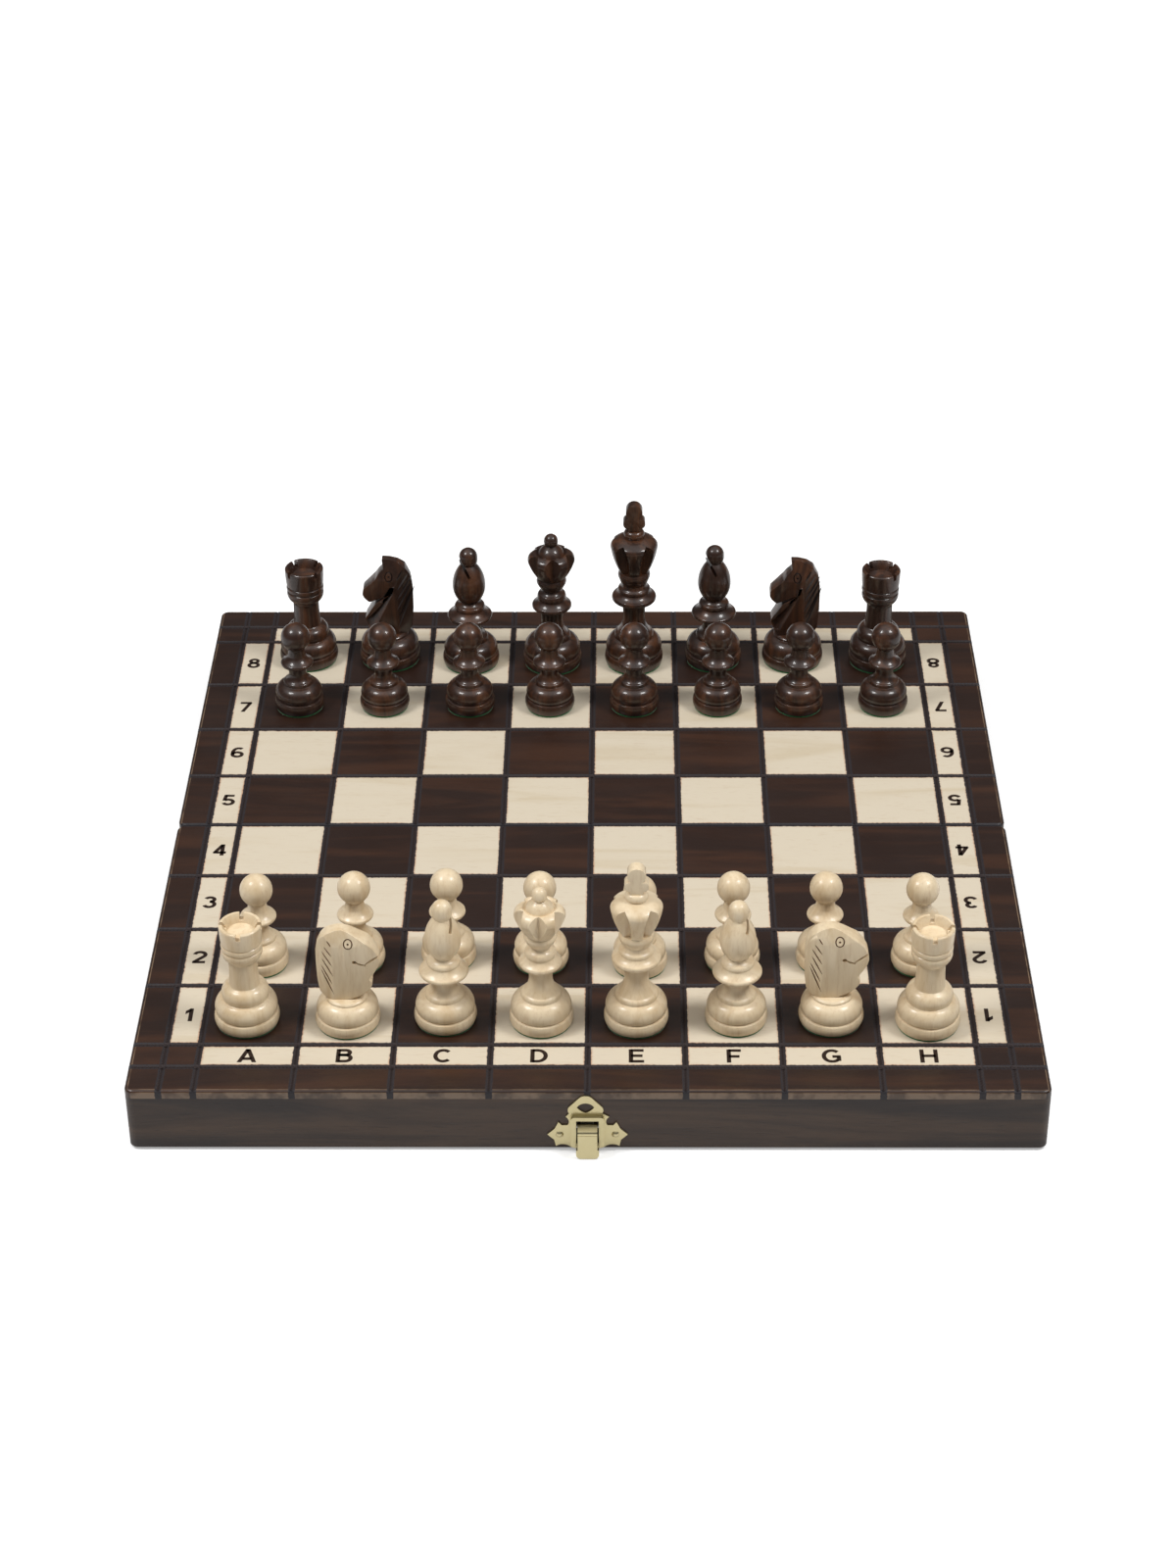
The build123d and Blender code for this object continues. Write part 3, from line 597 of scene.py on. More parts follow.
def printedMarks(half):
    way = -1 if half == "front" else 1
    size = board["square"]
    letterY = way * (board["gridHalf"] + board["letterStrip"] / 2)
    numberX = board["gridHalf"] + board["numberStrip"] / 2
    marks = []
    for i in range(8):
        marks.append(characterMesh("ABCDEFGH"[i], (i - 3.5) * size, letterY, half == "rear"))
    for i in range(4):
        rank = i + 1 if half == "front" else i + 5
        y = (rank - 4.5) * size
        marks.append(characterMesh(str(rank), -numberX, y, False))
        marks.append(characterMesh(str(rank), numberX, y, True))
    piece = addMesh(half + "Coordinates", *joined(marks))
    faceUp(piece)
    dress(piece, bodyOf(half + "_top_panel"), inkFinish)


for half in ("front", "rear"):
    printedMarks(half)
print("coordinates printed")


# Turned work: a half profile in millimetres, drawn foot first, carried round the piece's own axis

turning = {
    "sides": 80,
    "sample": 0.05,  # spacing along the profile before it is thinned
    "softness": 0.1,  # how far a turned corner is rounded
    "longest": 1.0,
    "bend": 0.2,  # radians of bend between rings
}
felt = {"thickness": 0.8, "inset": 0.85}


# The foot disc, its groove, the bulge above and the step up from the bulge's top
def footStrokes(foot, shoulder, ringHeight):
    return [
        (foot - 0.7, 0),
        (foot - 0.5, 4.8, 0.55),
        (foot - 1.5, 5.15),
        (foot - 1.1, 5.5),
        (shoulder + 1.0, ringHeight - 0.4, 0.5 + 0.2 * (foot - shoulder)),
        (shoulder, ringHeight - 0.1),
        (shoulder, ringHeight + 0.5),
    ]


# Points from start to end on the arc that stands out from its chord by bow, to the right of its way
def arcPoints(start, end, bow, count):
    chord = np.subtract(end, start)
    length = np.hypot(*chord)
    t = np.linspace(0, 1, count)[:, None]
    points = np.array(start) + t * chord
    if abs(bow) > 1e-6:
        bend = (length**2 / 4 + bow**2) / (2 * abs(bow))
        swell = np.sqrt(np.maximum(bend**2 - ((t - 0.5) * length) ** 2, 0)) - (bend - abs(bow))
        points = points + math.copysign(1, bow) * swell * np.array([chord[1], -chord[0]]) / length
    return points


# Weights of a sliding mean, highest in the middle and 1 in all
def meanWeights(width):
    window = np.hanning(2 * width + 3)[1:-1]
    return window / window.sum()


# Sample the strokes, round their corners with a sliding mean and keep the points that the curve needs
def profilePoints(strokes):
    pieces = []
    start = (0.0, strokes[0][1])
    for stroke in strokes + [(0, strokes[-1][1])]:
        end = (stroke[0], stroke[1])
        bow = stroke[2] if len(stroke) == 3 else 0.0
        if bow == "dome":
            radius, rise = start[0], end[1] - start[1]
            bend = (radius**2 + rise**2) / (2 * rise)
            bow = bend - math.sqrt(bend**2 - (radius**2 + rise**2) / 4)
        length = math.dist(start, end)
        if length > 1e-6:
            pieces.append(arcPoints(start, end, bow, max(3, int(length / turning["sample"])))[:-1])
        start = end
    points = np.concatenate(pieces + [np.array([start])])
    width = int(turning["softness"] / turning["sample"])
    padded = np.concatenate([points[:1]] * width + [points] + [points[-1:]] * width)
    soft = np.stack([np.convolve(padded[:, k], meanWeights(width), "valid") for k in (0, 1)], -1)
    soft[0], soft[-1] = points[0], points[-1]
    soft[1:-1, 0] = np.maximum(soft[1:-1, 0], 0.02)
    step = np.diff(soft, axis=0)
    run = np.hypot(step[:, 0], step[:, 1])
    heading = np.unwrap(np.arctan2(step[:, 1], step[:, 0]))
    turn = np.abs(np.diff(heading, prepend=heading[0]))
    cost = np.cumsum(run / turning["longest"] + turn / turning["bend"])
    chosen = np.unique(np.searchsorted(cost, np.arange(0, cost[-1], 1.0)))
    kept = soft[np.unique(np.concatenate([[0], chosen + 1, [len(soft) - 1]]))]
    apart = np.concatenate([[True], np.hypot(*np.diff(kept, axis=0).T) > 1e-3])
    return kept[apart]


# point = (r cos a, r sin a, h) for each profile point (r, h) and angle a; the first and last shrink to a point
def lathe(name, profile, sides):
    angles = np.arange(sides) * 2 * math.pi / sides
    radius, height = profile[1:-1, 0], profile[1:-1, 1]
    flat = np.ones((sides, 1))
    ring = np.stack([np.cos(angles)[:, None] * radius, np.sin(angles)[:, None] * radius, flat * height], -1)
    body = ring.reshape(-1, 3)
    index = np.arange(len(body)).reshape(sides, -1)
    after = np.roll(index, -1, 0)
    quads = np.stack([index[:, :-1], after[:, :-1], after[:, 1:], index[:, 1:]], -1).reshape(-1, 4)
    under = np.stack([np.full(sides, len(body)), after[:, 0], index[:, 0]], -1)
    over = np.stack([np.full(sides, len(body) + 1), index[:, -1], after[:, -1]], -1)
    points = np.concatenate([body, [[0, 0, profile[0, 1]], [0, 0, profile[-1, 1]]]])
    return addMesh(name, points, quads, under, over)


# Cutters and half spaces, all as points and triangles in millimetres

def turnedAbout(points, degrees):
    c, s = math.cos(math.radians(degrees)), math.sin(math.radians(degrees))
    return points @ np.array([[c, s, 0], [-s, c, 0], [0, 0, 1.0]])


# A cutter repeated count times about the axis, the first turned by the given degrees
def aroundAxis(cutter, count, first=0.0):
    return [(turnedAbout(cutter[0], first + 360 * i / count), cutter[1]) for i in range(count)]


# A closed form whose rings of points, all alike in number, are joined one to the next and capped
def ringSolid(rings):
    rings = np.array(rings, float)
    count, sides = rings.shape[:2]
    index = np.arange(count * sides).reshape(count, sides)
    after = np.roll(index, -1, 1)
    walls = [np.stack([index[:-1], after[:-1], after[1:]], -1), np.stack([index[:-1], after[1:], index[1:]], -1)]
    caps = [np.stack([np.full(sides - 2, index[0, 0]), index[0, 2:], index[0, 1:-1]], -1),
            np.stack([np.full(sides - 2, index[-1, 0]), index[-1, 1:-1], index[-1, 2:]], -1)]
    return rings.reshape(-1, 3), np.concatenate([part.reshape(-1, 3) for part in walls + caps])


# A box with one face on the plane through point, on the side that normal points to
def beyondPlane(point, normal, size=40.0):
    normal = np.array(normal, float) / np.linalg.norm(normal)
    side = np.cross(normal, (0, 0, 1.0) if abs(normal[2]) < 0.9 else (1.0, 0, 0))
    side /= np.linalg.norm(side)
    up = np.cross(normal, side)
    face = [np.array(point) + size * (a * side + b * up) for a, b in ((-1, -1), (1, -1), (1, 1), (-1, 1))]
    return ringSolid([face, [corner + size * normal for corner in face]])


# A knife stroke: pointed at both ends, with half width and depth given as directions
def knifeStroke(start, end, across, deep):
    start, end, across, deep = [np.array(v, float) for v in (start, end, across, deep)]
    rings = []
    for t, share in ((0.0, 0.04), (0.2, 0.75), (0.5, 1.0), (0.85, 0.7), (1.0, 0.04)):
        middle = start + t * (end - start)
        rings.append([middle - share * across, middle - share * deep, middle + share * across, middle + share * deep])
    return ringSolid(rings)


# Take the cutters away from a piece. The cut faces get the finish given for them.
def carve(piece, cutters, finish):
    cutter = addMesh("cutter", *joined(cutters))
    faceOutward(cutter)
    cutter.data.materials.append(finish)
    change = piece.modifiers.new("carve", "BOOLEAN")
    change.operation = "DIFFERENCE"
    change.solver = "EXACT"
    change.use_self = True
    change.material_mode = "TRANSFER"
    change.object = cutter
    applied(piece)
    bpy.data.objects.remove(cutter)


# Replace a piece's mesh with the one its modifiers make
def applied(piece):
    mesh = bpy.data.meshes.new_from_object(piece.evaluated_get(bpy.context.evaluated_depsgraph_get()))
    piece.modifiers.clear()
    piece.data = mesh


# Move a piece from its own millimetres to its place on the board
def settle(piece, place, turn, creases=32):
    movePoints(piece, turnedAbout(pointsOf(piece).astype(float), turn) * mm + place)
    piece.data.polygons.foreach_set("use_smooth", np.ones(len(piece.data.polygons), bool))
    piece.data.set_sharp_from_angle(angle=math.radians(creases))
    piece.data.update()


# Where a piece stands: the middle of its foot on the board, its foot's radius and its height
def standing(node):
    low, high = [np.array(corner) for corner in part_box(node)]
    place = np.array([(low[0] + high[0]) / 2, (low[1] + high[1]) / 2, low[2]])
    return place, (high[0] - low[0]) / 2 / mm, (high[2] - low[2]) / mm


def woodOf(node):
    if node.startswith("white"):
        return lightFinish, "light_piece_wood"
    return darkFinish, "dark_piece_wood"


# Pieces alike in kind and colour share one carved form, kept before it is set in its place
carved = {}


def kindOf(node):
    return "_".join(node.split("_")[:2])


def keepForTwin(node, part, piece):
    carved[kindOf(node), part] = piece.data.copy()


def again(node, part):
    if (kindOf(node), part) in carved:
        return placed(node + "_" + part, carved[kindOf(node), part].copy())


# A piece turned from strokes, fitted to its node's foot and height, with its felt disc
def turnedPiece(node, strokes, drawnHeight, makeCutters=None, turn=0.0):
    place, foot, tall = standing(node)
    finish, slotName = woodOf(node)
    profile = profilePoints(strokes)
    girth = foot / profile[:, 0].max()
    stretch = (tall - felt["thickness"]) / drawnHeight
    profile = profile * (girth, stretch) + (0, felt["thickness"])
    piece = again(node, "wood")
    if not piece:
        piece = lathe(node + "_wood", profile, turning["sides"])
        piece.data.materials.append(finish)
        if makeCutters:
            carve(piece, makeCutters(girth, stretch, tall), finish)
        keepForTwin(node, "wood", piece)
    settle(piece, place, turn)
    dress(piece, bodyOf(node), finish, node)
    thick = felt["thickness"]
    under = profilePoints([(foot - felt["inset"], 0.02), (foot - felt["inset"], thick - 0.02, 0.12)])
    disc = lathe("felt_" + node, under, 48)
    disc.data.materials.append(feltFinish)
    settle(disc, place, 0)
    dress(disc, bodyOf(node), feltFinish)
    return place, girth, stretch


# Pawns

pawn = {"foot": 11.2, "height": 42.1}
pawnStrokes = footStrokes(pawn["foot"], 6.6, 12.2) + [
    (5.7, 13.9, 0.3), (3.9, 17.4, -0.4),  # bead and flare
    (4.3, 20.3), (6.9, 21.8),  # stem and the collar's underside
    (6.8, 23.5, 0.4), (4.0, 26.4, -0.3), (3.5, 29.9), (6.5, 35.5, 0.85), (0, pawn["height"], "dome"),
]


# Rooks

rook = {"foot": 13.4, "height": 47.6, "notches": 4, "notchWidth": 1.8, "notchDepth": 2.6}
rookStrokes = footStrokes(rook["foot"], 9.4, 12.4) + [
    (6.9, 18.4, 1.3), (6.3, 18.8), (5.8, 29.8, -0.15),
    (6.0, 30.8), (8.1, 33.6, 0.3), (8.2, 35.9, 0.2), (7.8, 36.2),
    (8.2, 36.5), (8.3, 38.7, 0.2), (7.9, 39.0), (8.3, 39.3),
    (8.7, rook["height"] - 0.5, 0.1), (8.3, rook["height"]), (7.3, rook["height"]),
    (5.4, 44.0, 0.2), (0, 43.6),
]


def rookCutters(girth, stretch, tall):
    half = rook["notchWidth"] / 2
    floor = tall - rook["notchDepth"]
    ring = np.array([(1.0, -half, 0), (20, -half, 0), (20, half, 0), (1.0, half, 0)])
    box = ringSolid([ring + (0, 0, floor), ring + (0, 0, tall + 2)])
    return aroundAxis(box, rook["notches"])


# Bishops

bishop = {"foot": 13.0, "height": 59.1, "slitWidth": 1.3, "slitLean": 57.0, "slitFoot": 0.775, "slitX": 0.9}
bishopStrokes = footStrokes(bishop["foot"], 8.1, 12.3) + [
    (6.9, 14.4, 0.35), (4.9, 18.6, -0.5), (5.1, 21.8), (9.7, 23.6),
    (9.8, 25.4, 0.45), (6.7, 28.2, -0.3), (6.4, 30.4, 0.4), (4.3, 32.2, -0.3),
    (7.4, 41.2, 1.0), (3.5, 51.0, 0.9),
    (4.15, 54.6, 0.3), (0, bishop["height"], "dome"),
]


# The slit runs from its foot, just past the middle, up and out to the left
def bishopCutters(girth, stretch, tall):
    lean = math.radians(bishop["slitLean"])
    along = np.array([-math.cos(lean), 0, math.sin(lean)])
    across = np.array([math.sin(lean), 0, math.cos(lean)]) * bishop["slitWidth"] / 2
    start = np.array([bishop["slitX"], 0, bishop["slitFoot"] * tall + felt["thickness"]])
    wide = np.array([0, 20.0, 0])
    ring = np.array([start - across - wide, start + across - wide, start + across + wide, start - across + wide])
    return [ringSolid([ring, ring + 30 * along])]


# Queens

queen = {"foot": 13.5, "height": 66.3, "notches": 6, "root": 7.2, "rim": 13.0, "spread": 7.4}
queenStrokes = footStrokes(queen["foot"], 8.5, 13.2) + [
    (7.3, 15.4, 0.35), (5.0, 23.4, -0.8), (5.2, 27.4), (8.5, 28.8),
    (8.6, 30.8, 0.45), (6.2, 33.2, -0.2), (6.0, 36.2, 0.45), (4.1, 38.2, -0.3),
    (6.2, 41.0, 0.3), (6.4, 43.8, 0.45), (6.1, 44.2),
    (10.2, 51.8, 0.35), (8.7, 56.6, 1.1), (7.0, 57.0, 0.2), (6.1, 56.3),
    (2.3, 60.6, 0.6), (3.15, 63.1, 0.35), (0, queen["height"], "dome"),
]


def queenCutters(girth, stretch, tall):
    root, rim, spread = [queen[k] * girth for k in ("root", "rim", "spread")]
    ring = np.array([(root, 0, 0), (rim, -spread, 0), (rim, spread, 0)])
    base = felt["thickness"] + 44.6 * stretch
    notch = ringSolid([ring + (0, 0, base), ring + (0, 0, base + 14 * stretch)])
    return aroundAxis(notch, queen["notches"])


# Kings

king = {"foot": 12.7, "height": 73.3, "scoops": 5, "crossThickness": 5.0, "flank": 1.04, "reach": 16.0}
kingStrokes = footStrokes(king["foot"], 8.5, 12.4) + [
    (7.3, 14.6, 0.35), (4.7, 22.4, -0.8), (4.9, 28.2), (9.0, 29.4),
    (9.2, 31.4, 0.45), (6.7, 33.4, -0.3), (6.6, 35.0, 0.3), (5.3, 37.2, -0.4),
    (6.4, 39.6, 0.2), (6.5, 42.3, 0.45), (6.2, 42.7),
    (10.0, 53.6, 0.5), (8.9, 56.4, 0.5), (4.0, 58.2, 0.3),
    (3.4, 61.4, 0.75),
]


# The root of a scoop lies on a wide arc that dips inside the chord from low to high
def kingCutters(girth, stretch, tall):
    root = arcPoints((4.4, 40.0), (8.4, 57.3), -1.2, 60)
    root = np.concatenate([root[root[:, 1] > 42.8], [[9.0, 58.8]]])
    root[0, 1] = 42.8
    rings = []
    for r, z in root[::3].tolist() + root[-1:].tolist():
        wide = (king["reach"] - r) * king["flank"]
        height = z * stretch + felt["thickness"]
        reach = king["reach"] * girth
        rings.append([(r * girth, 0, height), (reach, -wide * girth, height), (reach, wide * girth, height)])
    return aroundAxis(ringSolid(rings), king["scoops"], 180 / king["scoops"])


# Sawn work: a flat outline with a thickness

# Sample a closed outline evenly and round its corners with a sliding mean
def roundedOutline(corners, softness, step=0.3):
    corners = np.array(corners, float)
    ends = np.roll(corners, -1, 0)
    pieces = [a + np.linspace(0, 1, max(2, int(math.dist(a, b) / step)), endpoint=False)[:, None] * (b - a)
              for a, b in zip(corners, ends)]
    points = np.concatenate(pieces)
    width = max(1, int(softness / step))
    wrapped = np.concatenate([points[-width:], points, points[:width]])
    return np.stack([np.convolve(wrapped[:, k], meanWeights(width), "valid") for k in (0, 1)], -1)


# A board of the given half thickness, sawn along the outline in the plane of x and z
def sawnBoard(name, outline, half):
    count = len(outline)
    front = np.stack([outline[:, 0], np.full(count, -half), outline[:, 1]], -1)
    points = np.concatenate([front, front * (1, -1, 1)])
    index = np.arange(count)
    band = np.stack([index, index + count, np.roll(index, -1) + count, np.roll(index, -1)], -1)
    piece = addMesh(name, points, index[None, :], (index + count)[None, ::-1], band)
    faceOutward(piece)
    return piece


def easeEdges(piece, width, segments):
    change = piece.modifiers.new("ease", "BEVEL")
    change.width = width
    change.segments = segments
    change.limit_method = "ANGLE"
    change.angle_limit = math.radians(28)
    applied(piece)


# The flat cross with two side lobes and a large one on top
def kingCross(node, place, girth, stretch):
    finish, slotName = woodOf(node)
    outline = [(-2.6, 60.4), (2.6, 60.4), (2.6, 62.9)]
    outline += arc(2.6, 65.0, 2.1, 2.1, -90, 60, 14) + arc(0, 69.75, 3.55, 3.55, -50, 230)
    outline += arc(-2.6, 65.0, 2.1, 2.1, 120, 270, 14)
    outline = roundedOutline(outline, 0.35) * (girth, stretch) + (0, felt["thickness"])
    piece = sawnBoard(node + "_cross", outline, king["crossThickness"] / 2)
    piece.data.materials.append(finish)
    easeEdges(piece, 0.6, 3)
    settle(piece, place, 0)
    dress(piece, bodyOf(node), finish)


# Knights

knight = {
    "foot": 14.0,
    "height": 52.5,
    "half": 4.3,
    "maneStart": (-4.6, 4.3),  # where the slope to the mane leaves the side, as x and y
    "maneEdge": (-11.6, 1.0),
    "brow": 42.6,
    "crownSlope": (9.9, 2.6),  # the sides lean in above the brow, as a normal's y and z
    "eyeFall": 0.26,  # how far the eye follows that lean
    "ease": {"white": 1.0, "black": 0.7},
    "strokeWidth": {"white": 0.3, "black": 0.5},
    "strokeDepth": 0.8,
    "strokePast": {"white": 1.0, "black": 1.7},  # how far the strokes reach, as a share of the drawn ones
    "eye": {"white": (1.9, 43.9), "black": (-1.0, 44.3)},
    "eyeSize": (1.6, 2.2),
    "mouthWidth": 0.6,
    "mouthDepth": 1.7,
    "mouthHole": (4.0, 34.5, 0.9, 4.4),  # its place, radius and length
}
knightStrokes = footStrokes(knight["foot"], 8.8, 13.2) + [(7.0, 14.6, 0.3), (0, 14.8)]
darkHead = [
    (7.0, 14.0), (8.9, 17.2), (10.4, 20.2), (10.3, 22.8), (5.5, 30.6), (-2.5, 35.8), (1.0, 34.2),
    (5.1, 32.6), (8.3, 31.2), (10.5, 33.2), (11.3, 34.9), (10.9, 37.4), (7.9, 40.2), (5.3, 42.8),
    (3.9, 45.2), (1.4, 48.0), (1.9, 52.5), (-1.6, 52.3), (-5.2, 51.2), (-8.3, 48.8), (-10.7, 44.3),
    (-11.6, 37.8), (-11.6, 26.4), (-10.8, 17.0), (-8.5, 14.0),
]
lightHead = [
    (-4.5, 14.0), (-1.4, 14.3), (1.7, 14.9), (4.4, 15.9), (6.7, 17.4), (9.4, 19.8), (10.5, 21.8),
    (10.3, 23.5), (9.2, 25.0), (11.3, 28.0), (12.9, 31.0), (13.6, 33.9), (12.9, 37.6), (11.3, 40.8),
    (9.1, 43.6), (6.1, 45.9), (2.6, 48.6), (-0.4, 50.2), (-3.2, 49.9), (-6.4, 48.4), (-8.9, 46.1),
    (-10.3, 43.0), (-11.0, 39.0), (-11.1, 33.0), (-10.9, 23.5), (-10.2, 17.6), (-8.3, 15.2),
]
maneStrokes = [
    ((-4.4, 17.3), (-9.2, 29.8)), ((-4.9, 22.7), (-9.1, 31.9)), ((-4.3, 26.9), (-8.6, 35.5)),
    ((-4.5, 32.2), (-8.6, 39.2)), ((-4.6, 37.4), (-7.5, 41.8)), ((-4.6, 42.7), (-6.2, 45.5)),
]


# Cutters in pairs, one for each side of the head
def bothSides(cutters):
    return cutters + [(points * (1, -1, 1), faces[:, ::-1]) for points, faces in cutters]


# The head thins to the mane, to the crown and to the nose. A dark head's chest is cut to a keel.
def knightFlanks(color):
    half = knight["half"]
    (startX, startY), (edgeX, edgeY) = knight["maneStart"], knight["maneEdge"]
    mane = beyondPlane((startX, startY, 30), (edgeY - startY, startX - edgeX, 0))
    crown = beyondPlane((0, half, knight["brow"]), (0, *knight["crownSlope"]))
    nose = beyondPlane((6.5, half, 30), (1.5, 8.0, 0))
    cutters = [mane, crown, nose]
    if color == "black":
        top = np.array([-2.6, half, 35.9])
        foot = np.array([(12.6, 0.4, 17.5), (6.0, half, 17.5), (8.0, 9.0, 17.5), (16.0, 9.0, 17.5)])
        cutters.append(ringSolid([top + (foot - foot.mean(0)) * 0.02, foot]))
    return bothSides(cutters)


# An ellipse on the side of the head, as a ring of small diamonds, with a pit in its middle
def eyeCutters(color):
    x, z = knight["eye"][color]
    (wide, tall), count = knight["eyeSize"], 28
    rings = []
    for a in np.arange(count) * 2 * math.pi / count:
        level = z + tall * math.sin(a)
        half = knight["half"] - 0.1 - knight["eyeFall"] * max(0, level - knight["brow"])
        middle = np.array([x + wide * math.cos(a), half, level])
        out = np.array([math.cos(a), 0, math.sin(a)]) * 0.3
        rings.append([middle + out, middle + (0, 0.5, 0), middle - out, middle - (0, 0.5, 0)])
    points = np.array(rings)
    index = np.arange(count * 4).reshape(count, 4)
    after, beside = np.roll(index, -1, 0), np.roll(index, -1, 1)
    corner = np.roll(after, -1, 1)
    faces = np.concatenate([np.stack([index, after, corner], -1).reshape(-1, 3),
                            np.stack([index, corner, beside], -1).reshape(-1, 3)])
    half = knight["half"] - knight["eyeFall"] * max(0, z - knight["brow"])
    pit = np.array([(px, half + 1.0, pz) for px, pz in arc(x, z, 0.6, 0.6, 0, 330, 12)])
    bottom = (pit - (x, 0, z)) * (0.6, 1, 0.6) + (x, -1.6, z)
    return [(points.reshape(-1, 3), faces), ringSolid([pit, bottom])]


# Strokes lie in the slope to the mane, whose distance from the middle falls evenly from side to edge
def knightMarks(color):
    (startX, startY), (edgeX, edgeY) = knight["maneStart"], knight["maneEdge"]
    fall = (startY - edgeY) / (startX - edgeX)
    normal = np.array([-fall, 1.0, 0]) / math.hypot(fall, 1)
    cutters = []
    for start, end in maneStrokes:
        end = np.array(start) + knight["strokePast"][color] * np.subtract(end, start)
        ends = [np.array([x, startY - fall * (startX - x), z]) for x, z in (start, end)]
        along = (ends[1] - ends[0]) / np.linalg.norm(ends[1] - ends[0])
        across = np.cross(normal, along) * knight["strokeWidth"][color]
        cutters.append(knifeStroke(ends[0], ends[1], across, normal * knight["strokeDepth"]))
    return bothSides(cutters + eyeCutters(color))


# The light heads' mouth: a drilled hole and a groove from it that runs under the muzzle
def mouthCutters():
    side = knight["half"] - 0.4
    lines = [((3.4, side, 34.9), (8.6, side, 32.2)), ((7.0, side, 32.3), (14.4, side - 0.8, 37.6))]
    cutters = []
    for start, end in lines:
        along = np.subtract(end, start) / math.dist(start, end)
        across = np.cross((0, 1.0, 0), along) * knight["mouthWidth"]
        cutters += bothSides([knifeStroke(start, end, across, (0, knight["mouthDepth"], 0))])
    x, z, radius, depth = knight["mouthHole"]
    hole = np.array([(px, side + 3, pz) for px, pz in arc(x, z, radius, radius, 0, 330, 12)])
    return cutters + bothSides([ringSolid([hole, hole - (0, depth, 0)])])


def knightHead(node, place, girth, stretch):
    color = node.split("_")[0]
    light = color == "white"
    finish, slotName = woodOf(node)
    piece = again(node, "head")
    if not piece:
        outline = roundedOutline(lightHead if light else darkHead, 0.9 if light else 0.5, 0.45)
        piece = sawnBoard(node + "_head", outline, knight["half"])
        piece.data.materials.append(finish)
        carve(piece, knightFlanks(color), finish)
        easeEdges(piece, knight["ease"][color], 3)
        if light:
            for cutter in mouthCutters():
                carve(piece, [cutter], finish)
        carve(piece, knightMarks(color), lightCutFinish if light else darkCutFinish)
        movePoints(piece, pointsOf(piece) * (1, 1, stretch) + (0, 0, felt["thickness"]))
        keepForTwin(node, "head", piece)
    settle(piece, place, 0 if light else 180, 24)
    dress(piece, bodyOf(node), finish)


# Set out the pieces

turns = {
    "white_rook": 0, "black_rook": 42, "white_bishop": -139, "black_bishop": 0,
    "white_queen": -93, "black_queen": -84, "white_king": -87, "black_king": -88,
}
turnedForms = {
    "pawn": (pawnStrokes, pawn["height"], None),
    "rook": (rookStrokes, rook["height"], rookCutters),
    "knight": (knightStrokes, knight["height"], None),
    "bishop": (bishopStrokes, bishop["height"], bishopCutters),
    "queen": (queenStrokes, queen["height"], queenCutters),
    "king": (kingStrokes, king["height"], kingCutters),
}
for node in [n for n in frame["nodes"] if n.startswith(("white_", "black_"))]:
    kind = node.split("_")[1]
    fitted = turnedPiece(node, *turnedForms[kind], turns.get(kindOf(node), 0))
    if kind == "king":
        kingCross(node, *fitted)
    elif kind == "knight":
        knightHead(node, *fitted)
for mesh in carved.values():
    bpy.data.meshes.remove(mesh)
print("pieces set out")


# Floor, light and camera

studio = {
    "camera": (13.0 * mm, -1101.9 * mm, 760.3 * mm),  # from the middle of the board's top
    "pitch": 33.86,
    "yaw": -0.735,
    "roll": -0.425,
    "lens": 72.05,
    "film": 36.0,
    "floorReach": 6.0,
    "floorBelow": 0.02 * mm,
    "softboxes": {"softboxLeft": (-0.75, -0.25, 1.15), "softboxRight": (0.75, -0.25, 1.15)},
    "softboxWidth": 0.4,
    "softboxPower": 9.5,
    "sky": (0.07, 0.95),  # strength near the horizon and overhead
}


def aim(thing, place, right, up, ahead):
    turn = Matrix([[right[i], up[i], -ahead[i]] for i in range(3)]).to_4x4()
    thing.matrix_world = Matrix.Translation(place) @ turn


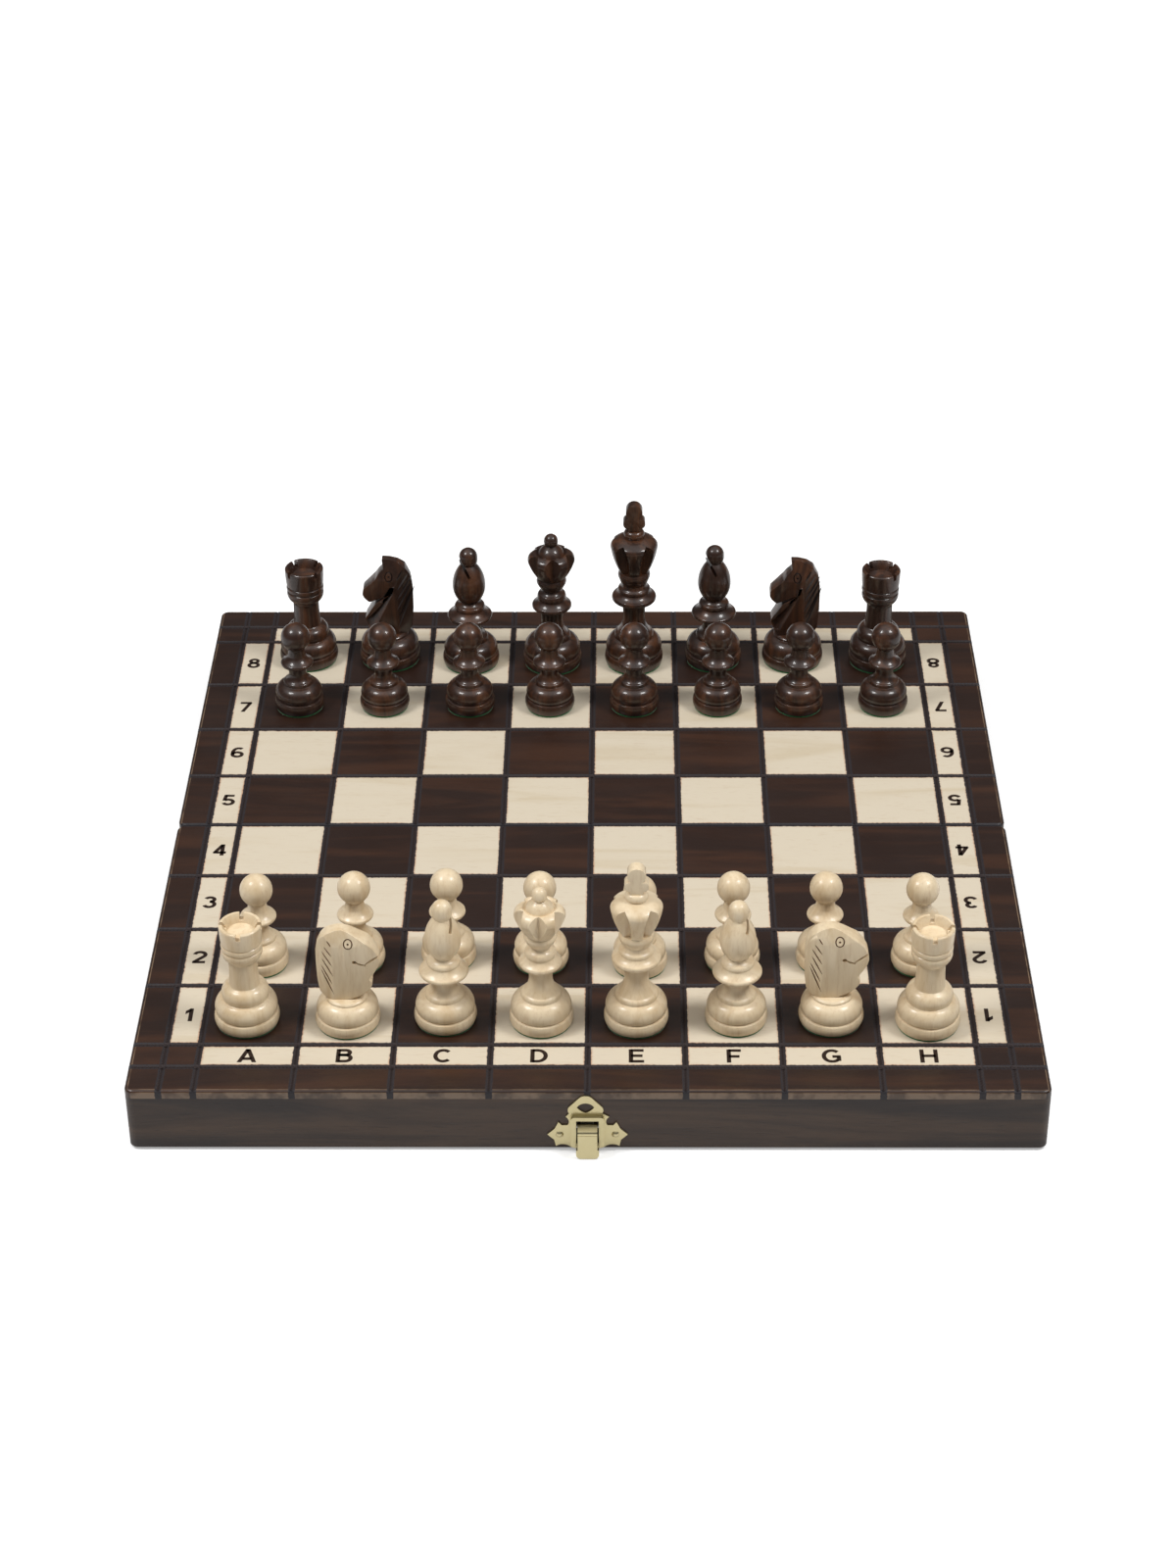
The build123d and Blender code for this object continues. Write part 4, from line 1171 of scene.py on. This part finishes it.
# The camera looks along its yaw and pitch, then rolls about that line.
def setCamera():
    pitch, yaw, roll = [math.radians(studio[k]) for k in ("pitch", "yaw", "roll")]
    ahead = np.array([math.sin(yaw) * math.cos(pitch), math.cos(yaw) * math.cos(pitch), -math.sin(pitch)])
    right = np.array([math.cos(yaw), -math.sin(yaw), 0])
    up = np.cross(right, ahead)
    across = math.cos(roll) * right + math.sin(roll) * up
    upward = -math.sin(roll) * right + math.cos(roll) * up
    data = bpy.data.cameras.new("camera")
    data.sensor_fit = "VERTICAL"
    data.sensor_height = studio["film"]
    data.lens = studio["lens"]
    data.clip_end = 20
    x, y, z = studio["camera"]
    camera = placed("camera", data)
    aim(camera, (x, y, z + boardTop), across, upward, ahead)
    bpy.context.scene.camera = camera


# A large plain floor whose own colour is pale, lifted to white where only the camera sees it.
def setFloor():
    corners = np.array([[-1, -1, 0], [1, -1, 0], [1, 1, 0], [-1, 1, 0]]) * studio["floorReach"]
    points = corners - (0, 0, studio["floorBelow"])
    floor = addMesh("floor", points, np.array([[0, 1, 2, 3]]))
    material, tree, shader, place = newMaterial("floorWhite", Roughness=0.9, **{"Specular IOR Level": 0.1})
    path = addNode(tree, "LightPath").outputs["Is Camera Ray"]
    distance = addNode(tree, "VectorMath", {0: place}, operation="LENGTH").outputs["Value"]
    lift = ease(tree, distance, 0.35, 1.4, 0.35, 0.75)
    feed(tree, shader, {"Base Color": (0.82, 0.82, 0.82, 1), "Emission Color": (1, 1, 1, 1),
                        "Emission Strength": times(tree, path, lift)})
    floor.data.materials.append(material)


def softbox(name, x, y, z):
    data = bpy.data.lights.new(name, "AREA")
    data.shape = "DISK"
    data.size = studio["softboxWidth"]
    data.energy = studio["softboxPower"]
    ahead = -np.array([x, y, z]) / math.sqrt(x * x + y * y + z * z)
    right = np.cross(ahead, (0, 1, 0))
    right /= np.linalg.norm(right)
    aim(placed(name, data), (x, y, z), right, np.cross(right, ahead), ahead)


def setWorld():
    world = bpy.data.worlds.new("studio")
    bpy.context.scene.world = world
    world.use_nodes = True
    tree = world.node_tree
    background = tree.nodes["Background"]
    path = addNode(tree, "LightPath").outputs["Is Camera Ray"]
    way = addNode(tree, "TexCoord").outputs["Generated"]
    height = addNode(tree, "SeparateXYZ", {0: way}).outputs["Z"]
    sky = ease(tree, height, 0.52, 0.98, *studio["sky"])
    seen = addNode(tree, "Mix", {0: path, 2: sky, 3: 1.0}).outputs[0]
    feed(tree, background, {"Color": (1, 1, 1, 1), "Strength": seen})


setCamera()
setFloor()
for name, spot in studio["softboxes"].items():
    softbox(name, *spot)
setWorld()
bpy.context.scene.view_settings.view_transform = "Standard"
print("studio set")
